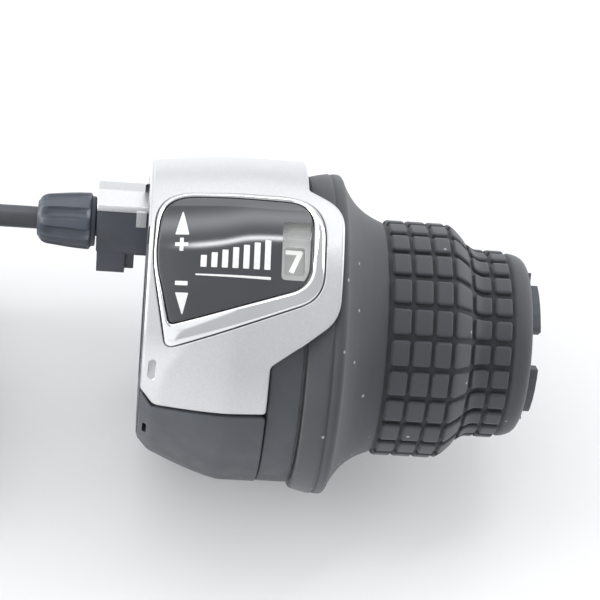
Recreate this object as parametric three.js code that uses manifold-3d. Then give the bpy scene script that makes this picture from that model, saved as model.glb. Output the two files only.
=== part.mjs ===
// Seven-speed rotary (twist) shifter for the right end of a bicycle handlebar.
//
// Millimetres. +X runs along the handlebar from the inboard end of the housing to the grip end,
// +Z is up through the gear display and +Y points away from the rider. The origin is on the
// handlebar's axis, in the plane of the housing's inboard end.
//
// Places on the barrel-shaped housing are given as (x, angle, radius): the angle, in degrees, is
// measured round the handlebar from straight up (+Z) towards the rider (-Y).

import * as THREE from 'three';
import { mergeVertices } from 'three/addons/utils/BufferGeometryUtils.js';
import Module from 'manifold-3d';

const wasm = await Module();
wasm.setup();

// ---------------------------------------------------------------- driving dimensions

const GAP = 0.3;                  // clearance between neighbouring pieces
const ROUND = 36;                 // facets round a full turn

const BORE_R = 11.2;              // handlebar bore, for a 22.2 mm bar
const SLEEVE_R = 12.4;            // fixed sleeve that the drum turns on
const HUB_R = 15.6;               // clamp hub
const HUB_END = 12;               // x where the hub ends
const SLEEVE_END = 27.2;          // x where the fixed sleeve ends

const BODY_R = 28.6;              // housing radius under the handlebar
const CROWN = 5.0;                // extra radius at the display
const CROWN_ANGLE = -15;          // where the crown is highest
const CROWN_SPREAD = 62;          // how far the crown reaches round, degrees
const TAPER_LENGTH = 16;          // length over which the inboard end is drawn in
const TAPER_TOP = 1.5;            // how much it is drawn in at the top
const TAPER_BOTTOM = 6.0;         // and at the bottom
const SHELL = 1.8;                // wall of the covers
const BEZEL_DEPTH = 2.5;          // the bezel reaches this far below the surface

const SEAM_X = 22.6;              // the covers end here, next to the front ring
const RING_START = 23.1;          // front ring of the housing
const RING_END = 28.8;
const RING_R = 28.4;
const COVER_START = 0.6;          // inboard edge of the covers
const COVER_BACK = -92;           // the silver cover's edges, degrees
const COVER_FRONT = 65.5;

const CABLE_Y = 26;               // cable axis, parallel to the handlebar
const CABLE_Z = -3.5;
const WIRE_R = 0.6;               // inner cable
const CASING_R = 2.25;            // outer casing
const DRUM_PITCH_R = 13.9;        // radius at which the cable winds
const DRUM_GROOVE_X = 18;

const GEARS = 7;
const CLICK = 12;                 // degrees between two gears

const FLANGE_START = 29.3;        // rubber sleeve of the grip
const FLANGE_R = 30.4;
const RUBBER_END = 71.8;
const CORE_R = 13.6;              // tube under the rubber
const CORE_END = 73.55;
const PADS_R = 22.4;              // pads on the wide half and on the narrow half
const PADS_END_R = 17.9;
const PAD_HEIGHT = 0.9;
const TABS = 5;                   // castellations at the grip's end
const TAB_GAP = 29;               // degrees between two tabs

const FLOOR = -FLANGE_R;          // the surface that the shifter lies on

const COIL_R = 25;                // middle radius of the coiled casing
const COIL_COLUMNS = 2;           // turns side by side, and on top of each other
const COIL_LAYERS = 6;
const COIL_X = -64;               // the coil's centre; its outer turn is in line with the casing
const COIL_Y = CABLE_Y - COIL_R - (COIL_COLUMNS - 1) * CASING_R;
const TIE_THICK = 0.5;            // strap ties round the coil
const TIE_WIDTH = 6;

// ---------------------------------------------------------------- colours

const finish = (color, roughness, metalness) =>
  new THREE.MeshStandardMaterial({ color, roughness, metalness });

const BLACK_PLASTIC = finish(0x3a3d42, 0.55, 0.0);
const SILVER_PAINT = finish(0xc9cbce, 0.35, 0.6);
const CHROME = finish(0xe6e8ea, 0.08, 1.0);
const CLEAR = finish(0xaab0b6, 0.05, 0.0);
const GLOSS_BLACK = finish(0x141518, 0.1, 0.0);
const RUBBER = finish(0x3b3c40, 0.85, 0.0);
const STEEL = finish(0x9a9c9f, 0.3, 1.0);
const BRASS = finish(0xb59a55, 0.35, 1.0);
const CASING = finish(0x2c2e33, 0.5, 0.0);
const WHITE_PLASTIC = finish(0xd9d9d4, 0.5, 0.0);

// ---------------------------------------------------------------- solids

// A closed three.js geometry as a solid, with its faces turned outwards.
function solid(geometry) {
  const bare = geometry.clone();
  bare.deleteAttribute('normal');
  bare.deleteAttribute('uv');
  const merged = mergeVertices(bare, 1e-4);
  const points = merged.attributes.position;
  const corner = [new THREE.Vector3(), new THREE.Vector3(), new THREE.Vector3()];
  const triangles = [];
  let volume = 0;
  for (let i = 0; i < merged.index.count; i += 3) {
    const t = [0, 1, 2].map((k) => merged.index.getX(i + k));
    if (t[0] === t[1] || t[1] === t[2] || t[2] === t[0]) continue;
    t.forEach((index, k) => corner[k].fromBufferAttribute(points, index));
    volume += corner[0].dot(corner[1].clone().cross(corner[2]));
    triangles.push(t);
  }
  if (volume < 0) triangles.forEach((t) => t.reverse());
  return new wasm.Manifold(new wasm.Mesh({
    numProp: 3,
    vertProperties: Float32Array.from(points.array),
    triVerts: Uint32Array.from(triangles.flat()),
  }));
}

function join(...solids) {
  return solids.reduce((all, one) => all.add(one));
}

function cut(body, ...tools) {
  return tools.reduce((left, tool) => left.subtract(tool), body);
}

// Turned about the handlebar's axis from a closed outline of [x, radius] points.
function turned(outline, facets = ROUND) {
  const points = [...outline, outline[0]].map(([x, r]) => new THREE.Vector2(r, x));
  return solid(new THREE.LatheGeometry(points, facets).rotateZ(-Math.PI / 2));
}

// The same, about the cable's axis.
function turnedOnCable(outline, facets = 24) {
  return turned(outline, facets).translate([0, CABLE_Y, CABLE_Z]);
}

function ring(x0, x1, inner, outer, facets = ROUND) {
  return turned([[x0, inner], [x0, outer], [x1, outer], [x1, inner]], facets);
}

function box(low, high) {
  const size = high.map((value, k) => value - low[k]);
  const middle = high.map((value, k) => (value + low[k]) / 2);
  return solid(new THREE.BoxGeometry(...size).translate(...middle));
}

// A cylinder between two points.
function rod(from, to, radius, facets = 16) {
  const a = new THREE.Vector3(...from);
  const b = new THREE.Vector3(...to);
  const shape = new THREE.CylinderGeometry(radius, radius, a.distanceTo(b), facets);
  const along = b.clone().sub(a).normalize();
  const turn = new THREE.Quaternion().setFromUnitVectors(new THREE.Vector3(0, 1, 0), along);
  const middle = a.clone().add(b).multiplyScalar(0.5);
  return solid(shape.applyQuaternion(turn).translate(middle.x, middle.y, middle.z));
}

// A tube of solid section along a path of points.
function sweep(points, radius, sides, steps) {
  const path = new THREE.CatmullRomCurve3(points.map((p) => new THREE.Vector3(...p)), false, 'centripetal');
  const section = new THREE.Shape();
  for (let i = 0; i < sides; i += 1) {
    const turn = (2 * Math.PI * i) / sides;
    const corner = [radius * Math.cos(turn), radius * Math.sin(turn)];
    if (i === 0) section.moveTo(...corner);
    else section.lineTo(...corner);
  }
  section.closePath();
  const options = { steps, extrudePath: path, bevelEnabled: false, curveSegments: 1 };
  return solid(new THREE.ExtrudeGeometry(section, options));
}

// An outline in the plane across the handlebar, [y, z] points, run from x0 to x1.
function extrudedAlongX(outline, x0, x1) {
  const shape = new THREE.Shape(outline.map(([y, z]) => new THREE.Vector2(y, z)));
  const geometry = new THREE.ExtrudeGeometry(shape, { depth: x1 - x0, bevelEnabled: false });
  const toX = new THREE.Matrix4().makeBasis(
    new THREE.Vector3(0, 1, 0),
    new THREE.Vector3(0, 0, 1),
    new THREE.Vector3(1, 0, 0),
  );
  return solid(geometry.applyMatrix4(toX).translate(x0, 0, 0));
}

// ---------------------------------------------------------------- the barrel's surface

const clamp01 = (value) => Math.min(1, Math.max(0, value));
const radians = THREE.MathUtils.degToRad;

// The point at (x, angle, radius).
function place(x, angle, radius) {
  return [x, -radius * Math.sin(radians(angle)), radius * Math.cos(radians(angle))];
}

const signed = (angle) => (((angle + 180) % 360) + 360) % 360 - 180;

// How much the inboard end is drawn in, all round.
function taper(angle) {
  const a = signed(angle);
  const low = a > 0 ? clamp01((a - 30) / 80) : clamp01((-110 - a) / 70);
  return TAPER_TOP + (TAPER_BOTTOM - TAPER_TOP) * low ** 1.2;
}

// The outer radius of the housing.
function skin(x, angle) {
  const crown = CROWN * Math.exp(-(((signed(angle) - CROWN_ANGLE) / CROWN_SPREAD) ** 2));
  const inset = taper(angle) * Math.max(0, 1 - x / TAPER_LENGTH) ** 1.3;
  return BODY_R + crown - inset;
}

// Wraps a box of (x, angle, 0 to 1) round the bar; the last coordinate runs between two radii.
function wrapped(x0, x1, a0, a1, inner, outer, xSteps, aSteps) {
  const geometry = new THREE.BoxGeometry(1, 1, 1, xSteps, aSteps, 1);
  const points = geometry.attributes.position;
  for (let i = 0; i < points.count; i += 1) {
    const x = x0 + (points.getX(i) + 0.5) * (x1 - x0);
    const angle = a0 + (points.getY(i) + 0.5) * (a1 - a0);
    const depth = points.getZ(i) + 0.5;
    const radius = inner(x, angle) * (1 - depth) + outer(x, angle) * depth;
    points.setXYZ(i, ...place(x, angle, radius));
  }
  return solid(geometry);
}

// A closed outline of corners [x, angle, corner radius in mm], rounded and split into short steps.
const MM_PER_DEGREE = radians(30);

function rounded(corners) {
  const count = corners.length;
  const at = (i) => {
    const [x, angle] = corners[(i + count) % count];
    return new THREE.Vector2(x, angle * MM_PER_DEGREE);
  };
  const outline = new THREE.Path();
  for (let i = 0; i < count; i += 1) {
    const here = at(i);
    const before = at(i - 1).sub(here);
    const after = at(i + 1).sub(here);
    const half = Math.acos(before.dot(after) / before.length() / after.length()) / 2;
    const wanted = corners[i][2] / Math.tan(half);
    const reach = Math.min(wanted, 0.49 * before.length(), 0.49 * after.length());
    const start = here.clone().add(before.setLength(reach));
    const end = here.clone().add(after.setLength(reach));
    if (i === 0) outline.moveTo(start.x, start.y);
    else outline.lineTo(start.x, start.y);
    outline.quadraticCurveTo(here.x, here.y, end.x, end.y);
  }
  outline.closePath();
  const length = outline.getLength();
  const points = outline.getSpacedPoints(Math.ceil(length / 2.4)).slice(0, -1);
  return points.map((p) => [p.x, p.y / MM_PER_DEGREE]);
}

// Straight sides split into steps, so that they follow the barrel.
function split(outline, steps = 12) {
  return outline.flatMap(([x, angle], i) => {
    const [nextX, nextAngle] = outline[(i + 1) % outline.length];
    return Array.from({ length: steps }, (_, k) => {
      const part = k / steps;
      return [x + (nextX - x) * part, angle + (nextAngle - angle) * part];
    });
  });
}

// The outline moved outwards by a distance in mm (inwards when it is negative).
function grown(outline, distance) {
  const flat = outline.map(([x, angle]) => new THREE.Vector2(x, angle * MM_PER_DEGREE));
  const turning = THREE.ShapeUtils.area(flat) > 0 ? 1 : -1;
  return flat.map((point, i) => {
    const before = flat[(i + flat.length - 1) % flat.length];
    const after = flat[(i + 1) % flat.length];
    const along = after.clone().sub(before).normalize();
    const x = point.x + along.y * distance * turning;
    const y = point.y - along.x * distance * turning;
    return [x, y / MM_PER_DEGREE];
  });
}

// A radial prism through the barrel's wall over an outline.
function prism(outline, r0 = 8, r1 = 70) {
  const shape = new THREE.Shape(outline.map(([x, angle]) => new THREE.Vector2(x, angle)));
  const geometry = new THREE.ExtrudeGeometry(shape, { depth: 1, bevelEnabled: false });
  const points = geometry.attributes.position;
  for (let i = 0; i < points.count; i += 1) {
    const radius = r0 + points.getZ(i) * (r1 - r0);
    points.setXYZ(i, ...place(points.getX(i), points.getY(i), radius));
  }
  return solid(geometry);
}

const under = (depth) => (x, angle) => skin(x, angle) - depth;

// The same, but clear of the front ring and of the grip's rim where the cover overhangs them.
const THINNEST = 0.5;

function lined(depth) {
  return (x, angle) => {
    const outer = skin(x, angle);
    const ringTop = x > SEAM_X - 1.2 ? RING_R + GAP : 0;
    const rimTop = x > RING_END - 1.4 ? FLANGE_R + 0.4 : 0;
    return Math.min(Math.max(outer - depth, ringTop, rimTop), outer - THINNEST);
  };
}

// ---------------------------------------------------------------- outlines on the barrel

const LENS = rounded([
  [2.2, -9.6, 7], [29, -8.4, 5], [28.8, 20.2, 5], [4.3, 34.8, 1], [1.2, 13, 20],
]);

const BEZEL = rounded([
  [1.2, -11.2, 7.5], [31.2, -10.6, 8], [31.0, 23.6, 6], [4.0, 43, 1.4], [0.9, 14, 25],
]);

const COVER = rounded([
  [COVER_START, COVER_BACK, 0.8], [28.3, COVER_BACK, 0.8], [28.3, -17.5, 1], [34.6, -9.5, 8],
  [34.2, 30, 7], [SEAM_X, 47, 1.5], [SEAM_X, COVER_FRONT, 0.8], [2.8, COVER_FRONT + 2, 0.8],
  [COVER_START, 61, 1.5],
]);

const WINDOW = rounded([[23.4, -0.5, 0.8], [30, -0.5, 0.8], [30, 18.6, 0.8], [23.4, 18.6, 0.8]]);
const RING_WINDOW = rounded([[22, -2, 0.8], [27.9, -2, 0.8], [27.9, 24, 0.8], [22, 24, 0.8]]);

// ---------------------------------------------------------------- housing

const BLOCK = { front: 22, back: 31.5, low: -7.9, high: 5.0, start: -9.9 };
const CLAMP = { x: 7.4, z: -16.6, start: 2.6, lug: 8, low: -20.2, boltR: 2.0, headR: 3.4, nut: 3.5 };
const WALL = { inner: 24, outer: 25.6, start: HUB_END, end: SEAM_X };

const COVER_SCREWS = [
  { name: 'cover_screw_front', x: 17, angle: 152 },
  { name: 'cover_screw_rear', x: 17, angle: 222 },
  { name: 'cover_screw_top', x: 17, angle: -70 },
];

// The wire turns from the casing's line into the plane of the drum's groove.
const sourceAngle = Math.atan2(CABLE_Z, CABLE_Y);
const sourceDistance = Math.hypot(CABLE_Y, CABLE_Z);
const touchAngle = sourceAngle + Math.acos(DRUM_PITCH_R / sourceDistance);
const TOUCH = [DRUM_PITCH_R * Math.cos(touchAngle), DRUM_PITCH_R * Math.sin(touchAngle)];
const PULL = new THREE.Vector2(TOUCH[0] - CABLE_Y, TOUCH[1] - CABLE_Z).normalize();
const BEND_R = 6;
const WRAP = radians(18);

function wirePath() {
  const points = [[-11.8, CABLE_Y, CABLE_Z], [0, CABLE_Y, CABLE_Z]];
  for (let i = 0; i <= 8; i += 1) {
    const turn = (Math.PI / 2) * (i / 8);
    const along = BEND_R * (1 - Math.cos(turn));
    const x = DRUM_GROOVE_X - BEND_R + BEND_R * Math.sin(turn);
    points.push([x, CABLE_Y + along * PULL.x, CABLE_Z + along * PULL.y]);
  }
  for (let i = 0; i <= 5; i += 1) {
    const turn = touchAngle + WRAP * (i / 5);
    points.push([DRUM_GROOVE_X, DRUM_PITCH_R * Math.cos(turn), DRUM_PITCH_R * Math.sin(turn)]);
  }
  return points;
}

// A box in the plane of the wire's bend, s along the pull and n across it.
function bendBox(x0, x1, s0, s1, half) {
  const across = [-PULL.y, PULL.x];
  const corner = (s, n) => [CABLE_Y + s * PULL.x + n * across[0], CABLE_Z + s * PULL.y + n * across[1]];
  return extrudedAlongX([corner(s0, -half), corner(s1, -half), corner(s1, half), corner(s0, half)], x0, x1);
}

function screwTools(screw) {
  const seat = skin(screw.x, screw.angle);
  return {
    shank: rod(place(screw.x, screw.angle, seat - 5.5), place(screw.x, screw.angle, seat - 1.2), 1.1, 12),
    head: rod(place(screw.x, screw.angle, seat - 1.3), place(screw.x, screw.angle, seat - 0.3), 2.0, 16),
    hole: rod(place(screw.x, screw.angle, seat - 5.8), place(screw.x, screw.angle, seat + 2), 1.4, 12),
    sink: rod(place(screw.x, screw.angle, seat - 1.6), place(screw.x, screw.angle, seat + 3), 2.3, 16),
  };
}

const STOP = { start: 196, end: 204, clear: 1, width: 4, inner: 19.2 };

function mainHousing() {
  const hub = ring(0, HUB_END + 0.5, BORE_R, HUB_R);
  const sleeve = ring(HUB_END, SLEEVE_END, BORE_R, SLEEVE_R);
  const web = ring(WALL.start, WALL.start + 1.8, SLEEVE_R - 0.5, WALL.outer);
  const wall = turned([
    [WALL.start, WALL.inner], [RING_START + 0.8, WALL.inner], [RING_START + 0.8, RING_R - 1.5],
    [RING_END, RING_R - 1.5], [RING_END, RING_R], [RING_START, RING_R], [RING_START, WALL.outer],
    [WALL.start, WALL.outer],
  ]);
  const endPlate = [[-180.3, 0.2], [-0.2, 180.3]].map(([a0, a1]) =>
    wrapped(0, 1.6, a0, a1, () => HUB_R - 0.6,
      (x, a) => skin(1, a) - (a > -20 && a < 52 ? BEZEL_DEPTH + 0.7 : SHELL + GAP + 0.2), 1, 20));
  const block = box([BLOCK.start, BLOCK.front, BLOCK.low], [0.25, BLOCK.back, BLOCK.high]);
  const backSlope = extrudedAlongX(
    [[26.5, 5.2], [26.5, 8], [34, 8], [34, -1.3], [31.4, -1.3], [30.5, 2.2], [29, 4]], BLOCK.start - 1, 1);
  const blockLeg = box([BLOCK.start + 0.2, BLOCK.front, BLOCK.low - 6.7], [-4.1, 25.6, BLOCK.low + 0.5]);
  const lugs = box([CLAMP.start, -CLAMP.lug, CLAMP.low], [HUB_END - 0.1, CLAMP.lug, -13]);
  const stops = [STOP.start - STOP.clear - STOP.width, STOP.end + STOP.clear + (GEARS - 1) * CLICK].map(
    (angle) => wrapped(WALL.start + 1, SEAM_X, angle, angle + STOP.width, () => STOP.inner,
      () => WALL.inner + 0.4, 1, 2));
  const bosses = COVER_SCREWS.map(({ x, angle }) =>
    rod(place(x, angle, WALL.inner + 0.5), place(x, angle, skin(x, angle) - SHELL - GAP - 0.6), 2.6, 16));
  const body = join(hub, sleeve, web, wall, ...endPlate, block, blockLeg, lugs, ...stops, ...bosses);

  const bore = ring(-1, HUB_END, 0.01, BORE_R);
  const slit = box([-1, -1, -40], [HUB_END - 0.05, 1, -BORE_R + 1]);
  const boltHole = rod([CLAMP.x, -20, CLAMP.z], [CLAMP.x, 20, CLAMP.z], CLAMP.boltR + GAP);
  const nutRoom = CLAMP.nut + GAP;
  const nutPocket = box([CLAMP.x - nutRoom, -7.9, CLAMP.low - 1], [CLAMP.x + nutRoom, -4.3, CLAMP.z + nutRoom]);
  const cableBore = rod([-20, CABLE_Y, CABLE_Z], [15, CABLE_Y, CABLE_Z], 3.3, 24);
  const cableWindow = bendBox(WALL.start + 2.1, SEAM_X - 0.4, -4, 12, 2.6);
  const displayWindow = prism(RING_WINDOW, 25, 34);
  const screwHoles = COVER_SCREWS.map((screw) => screwTools(screw).hole);
  return cut(body, bore, slit, boltHole, nutPocket, cableBore, cableWindow, displayWindow, backSlope,
    ...screwHoles);
}

function silverCover() {
  const shell = wrapped(COVER_START, 34.8, COVER_BACK - 1, COVER_FRONT + 3, lined(SHELL), under(0), 16, 22);
  const skinPart = shell.intersect(prism(COVER));
  const opening = prism(grown(BEZEL, GAP));
  const hood = extrudedAlongX([
    [21.8, 5.3], [21.8, 6.0], [22.5, 6.4], [26.4, 6.4], [29.4, 5.2], [31.4, 2.8], [32.2, -0.8],
    [31.9, -0.8], [31.0, 2.5], [29.4, 4.5], [27, 5.3],
  ], BLOCK.start, -GAP);
  const bridge = wrapped(-0.9, 1.6, -78.4, -71, under(SHELL - 0.1), under(0), 1, 4);
  const dimple = rod(place(2.1, 52, 26.8), place(2.1, 52, 34), 0.9, 12);
  const screw = screwTools(COVER_SCREWS[2]);
  return cut(join(cut(skinPart, opening), hood, bridge), dimple, screw.sink, screw.hole);
}

function lowerCover() {
  const start = COVER_FRONT + 2.6;
  const end = 360 + COVER_BACK - 0.8;
  const low = wrapped(COVER_START, SEAM_X, start - 3, 180, under(SHELL), under(0), 7, 12);
  const high = wrapped(COVER_START, SEAM_X, 179.5, end, under(SHELL), under(0), 7, 10);
  const sloped = split([
    [COVER_START - 1, start + 0.5], [SEAM_X + 1, start - 1.5], [SEAM_X + 1, 185], [COVER_START - 1, 185],
  ]);
  const shell = join(low.intersect(prism(sloped)), high);
  const foot = extrudedAlongX([
    [-11, -22], [-9.2, -26.6], [-7, -29.4], [-5, FLOOR], [5, FLOOR], [7, -29.4], [9.2, -26.6], [11, -22],
  ], 3.2, 12).subtract(wrapped(2, 13, 150, 210, () => 5, under(SHELL), 6, 16));
  const boltAccess = rod([CLAMP.x, CLAMP.lug + 1, CLAMP.z], [CLAMP.x, 40, CLAMP.z], CLAMP.headR + 0.6);
  const slot = join(
    rod(place(1.9, 83.5, 23), place(1.9, 83.5, 34), 0.8, 12),
    rod(place(1.9, 88.5, 23), place(1.9, 88.5, 34), 0.8, 12),
    wrapped(1.1, 2.7, 83.5, 88.5, () => 23, () => 34, 1, 2),
  );
  const screws = COVER_SCREWS.slice(0, 2).map(screwTools);
  const holes = screws.flatMap((screw) => [screw.sink, screw.hole]);
  const wireChannel = rod([-1, CABLE_Y, CABLE_Z], [20, CABLE_Y, CABLE_Z], 1.2, 12);
  return cut(join(shell, foot), boltAccess, slot, wireChannel, ...holes);
}

function displayBezel() {
  const frame = wrapped(0.4, 31.8, -14, 46, lined(BEZEL_DEPTH), under(-0.35), 12, 9);
  const flange = wrapped(0.4, 31.8, -15, 47, under(2.7), under(2.15), 12, 9);
  const wide = grown(BEZEL, 0.9).map(([x, a]) => [THREE.MathUtils.clamp(x, 2.4, 28.9), a]);
  const opening = prism(LENS);
  const ledge = prism(grown(LENS, -1));
  const ringPart = frame.intersect(prism(BEZEL)).subtract(opening);
  const flangePart = flange.intersect(prism(wide)).subtract(ledge);
  return join(ringPart, flangePart);
}

function displayLens() {
  return wrapped(0.8, 29.6, -12, 38, under(1.1), under(-0.2), 10, 8).intersect(prism(grown(LENS, -GAP)));
}

function displayPlate() {
  const sheet = wrapped(0.8, 29.6, -12, 38, under(1.85), under(1.4), 10, 8);
  return sheet.intersect(prism(grown(LENS, -GAP))).subtract(prism(WINDOW));
}

function cableGuide() {
  const channel = sweep(wirePath(), WIRE_R + GAP, 8, 36);
  return bendBox(WALL.start + 2.4, DRUM.rimStart - GAP, 0.4, 7, 2.2).subtract(channel);
}

function clampBolt() {
  const { x, z, lug, boltR, headR } = CLAMP;
  const shank = rod([x, 0.2 - lug, z], [x, lug + 0.5, z], boltR);
  const head = rod([x, lug + GAP, z], [x, lug + 4.3, z], headR, 24);
  const socket = rod([x, lug + 2, z], [x, lug + 5, z], 1.7, 6);
  return join(shank, head).subtract(socket);
}

function clampNut() {
  const { x, z, boltR, nut } = CLAMP;
  const body = box([x - nut, -7.6, z - nut], [x + nut, -4.6, z + nut]);
  return body.subtract(rod([x, -12, z], [x, 0, z], boltR + GAP));
}

function coverScrew(screw) {
  const tools = screwTools(screw);
  const seat = skin(screw.x, screw.angle);
  const drive = rod(place(screw.x, screw.angle, seat - 0.8), place(screw.x, screw.angle, seat), 0.8, 6);
  return join(tools.shank, tools.head).subtract(drive);
}

// A leaf bent round the drum, its nose over the notched rim.
const NOSE = { angle: 130, tip: 18.85, thick: 0.5 };

function detentSpring() {
  const line = (x, a) => NOSE.tip + 4.1 * (1 - Math.exp(-(((a - NOSE.angle) / 11) ** 2)));
  return wrapped(20, 22.2, NOSE.angle - 26, NOSE.angle + 26, line, (x, a) => line(x, a) + NOSE.thick, 1, 26);
}

// ---------------------------------------------------------------- grip

const DRUM = { start: 15.1, end: 22.8, outer: 15.6, rim: 18.5, rimStart: 19.9 };

function cableDrum() {
  const body = turned([
    [DRUM.start, 12.75], [DRUM.start, DRUM.outer], [DRUM_GROOVE_X - 1, DRUM.outer],
    [DRUM_GROOVE_X - 1, 13.0], [DRUM_GROOVE_X + 1, 13.0], [DRUM_GROOVE_X + 1, DRUM.outer],
    [DRUM.rimStart, DRUM.outer], [DRUM.rimStart, DRUM.rim], [DRUM.end - 0.4, DRUM.rim],
    [DRUM.end - 0.4, DRUM.outer], [DRUM.end, DRUM.outer], [DRUM.end, 12.75],
  ], 40);
  const lug = wrapped(DRUM.rimStart, DRUM.end - 0.4, STOP.start, STOP.end, () => DRUM.rim - 0.5,
    () => 20.6, 1, 2);
  const notches = Array.from({ length: GEARS }, (_, i) => {
    const angle = NOSE.angle - i * CLICK;
    return rod(place(19, angle, DRUM.rim + 0.5), place(24, angle, DRUM.rim + 0.5), 1.3, 12);
  });
  return cut(join(body, lug), ...notches, nipplePocket(), ...drumSlots(DRUM.end - 2.4, GAP));
}

const nippleAngle = touchAngle + WRAP;

// The barrel nipple at the wire's end, and its pocket in the drum.
function nipple(radius, halfLength) {
  const angle = nippleAngle + 0.16;
  const y = 14.5 * Math.cos(angle);
  const z = 14.5 * Math.sin(angle);
  return rod([DRUM_GROOVE_X - halfLength, y, z], [DRUM_GROOVE_X + halfLength, y, z], radius, 16);
}

const nipplePocket = () => nipple(1.8, 2.2);
const cableNipple = () => nipple(1.35, 1.8);

// Three dogs on the grip's tube drive the drum.
function drumSlots(start, clear) {
  return [30, 150, 270].map((angle) =>
    wrapped(start - clear, DRUM.end + 1, angle - 9 - clear * 3, angle + 9 + clear * 3,
      () => 12.6, () => 14.4 + clear, 1, 3));
}

function gripCore() {
  const tube = turned([
    [DRUM.end + GAP, 12.75], [SLEEVE_END + GAP, 12.75], [SLEEVE_END + GAP, 11.5], [CORE_END, 11.5],
    [CORE_END, 14.1], [RUBBER_END + GAP, 14.1], [RUBBER_END + GAP, CORE_R], [31.0, CORE_R],
    [31.0, 26.5], [FLANGE_START, 26.5], [FLANGE_START, CORE_R], [DRUM.end + GAP, CORE_R],
  ]);
  const dogs = drumSlots(DRUM.end - 2.1, 0).map((dog) => dog.subtract(ring(0, 40, 0.01, 12.75)));
  const gaps = Array.from({ length: TABS }, (_, i) => {
    const middle = 38 + (i * 360) / TABS;
    return wrapped(RUBBER_END + GAP, CORE_END + 1, middle - TAB_GAP / 2, middle + TAB_GAP / 2,
      () => 10, () => 16, 1, 4);
  });
  return cut(join(tube, ...dogs), ...gaps);
}

function gearNumberRing() {
  return turned([
    [27.4, CORE_R + GAP], [27.4, 24.8], [24.2, 24.8], [24.2, 26.4], [28.7, 26.4], [28.7, CORE_R + GAP],
  ]);
}

// Pad tops along the grip: wide half, a slope and the narrow half.
function padRadius(x) {
  const slope = clamp01((x - 56) / 6.5);
  return PADS_R + (PADS_END_R - PADS_R) * slope * slope * (3 - 2 * slope);
}

const PAD_EDGES = [44.6, 48.6, 52.8, 57.0, 60.3, 64.1, 67.9];
const GROOVE = 0.45;

function rubberSleeve() {
  const outline = [
    [31.3, CORE_R + GAP], [31.3, 26.8], [FLANGE_START, 26.8], [FLANGE_START, 29.4],
    [30.2, 29.7], [33.2, FLANGE_R], [35.2, FLANGE_R], [35.8, 30.0], [37.4, 26.9], [39.6, 24.4],
    [42, 22.8], [PAD_EDGES[0] - 0.6, 22.0],
  ];
  PAD_EDGES.slice(0, -1).forEach((edge, i) => {
    const next = PAD_EDGES[i + 1];
    outline.push([edge - GROOVE, padRadius(edge) - PAD_HEIGHT]);
    outline.push([edge + GROOVE, padRadius(edge) - PAD_HEIGHT]);
    outline.push([edge + GROOVE + 0.15, padRadius(edge + GROOVE)]);
    outline.push([next - GROOVE - 0.15, padRadius(next - GROOVE)]);
  });
  const last = PAD_EDGES.at(-1);
  outline.push([last - GROOVE, PADS_END_R - PAD_HEIGHT]);
  outline.push([last + GROOVE, 16.9], [70.6, 16.7], [71.5, 16.1], [RUBBER_END, 15.4]);
  outline.push([RUBBER_END, CORE_R + GAP]);
  return turned(outline);
}

// ---------------------------------------------------------------- cable adjuster

const KNOB = { start: -21.6, end: -10.2, flutes: 8 };

function adjusterKnob() {
  const body = turnedOnCable([
    [KNOB.start, 2.6], [KNOB.start, 3.6], [-20.9, 4.5], [-19.7, 4.95], [-15.3, 5.4], [-11.2, 5.65],
    [-10.9, 5.0], [KNOB.end, 5.0], [KNOB.end, 3.2], [-12.7, 3.2], [-20.1, 3.2], [-20.1, 2.6],
  ], 32);
  const flutes = Array.from({ length: KNOB.flutes }, (_, i) => {
    const turn = (2 * Math.PI * (i + 0.5)) / KNOB.flutes;
    const at = (x, r) => [x, CABLE_Y + r * Math.cos(turn), CABLE_Z + r * Math.sin(turn)];
    return rod(at(-19.5, 6.3), at(-11.3, 6.6), 1.3, 10);
  });
  return cut(body, ...flutes);
}

function adjusterBarrel() {
  const outline = [[-12.4, 1.1], [-12.4, 2.9]];
  for (let x = -9.7; x < -4; x += 1.5) {
    outline.push([x, 2.95], [x + 0.75, 2.5]);
  }
  outline.push([-3.4, 2.5], [-3.4, 1.1]);
  return turnedOnCable(outline, 16);
}

function casingFerrule() {
  return turnedOnCable([
    [-19.6, 2.55], [-19.6, 2.85], [-12.9, 2.85], [-12.9, 1.0], [-13.7, 1.0], [-13.7, 2.55],
  ], 20);
}

// ---------------------------------------------------------------- casing

// The casing leaves the knob straight and comes down a little to the coil's top turn.
const CASING_ROUTE = [
  [-14, CABLE_Y, CABLE_Z], [-21.6, CABLE_Y, CABLE_Z], [-30, CABLE_Y, CABLE_Z],
  [-37, CABLE_Y, -3.62], [-43, CABLE_Y, -3.95], [-47.9, CABLE_Y, -4.28],
];

const COIL_LOW = FLOOR + TIE_THICK + GAP;
const COIL_HALF = COIL_COLUMNS * CASING_R;
const LAYER_RISE = 2 * CASING_R;
const COIL_TOP = COIL_LOW + 2 * CASING_R + (COIL_LAYERS - 1) * LAYER_RISE;

function casingTube() {
  return sweep(CASING_ROUTE, CASING_R, 10, 24);
}

function casingCoil() {
  const corner = 1.5;
  const [inner, outer] = [COIL_R - COIL_HALF, COIL_R + COIL_HALF];
  const outline = [
    [inner, COIL_LOW + corner], [inner + corner, COIL_LOW], [outer - corner, COIL_LOW],
    [outer, COIL_LOW + corner], [outer, COIL_TOP - corner], [outer - corner, COIL_TOP],
    [inner + corner, COIL_TOP], [inner, COIL_TOP - corner], [inner, COIL_LOW + corner],
  ].map(([r, z]) => new THREE.Vector2(r, z));
  const geometry = new THREE.LatheGeometry(outline, 40).rotateX(Math.PI / 2);
  return solid(geometry.translate(COIL_X, COIL_Y, 0));
}

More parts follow.
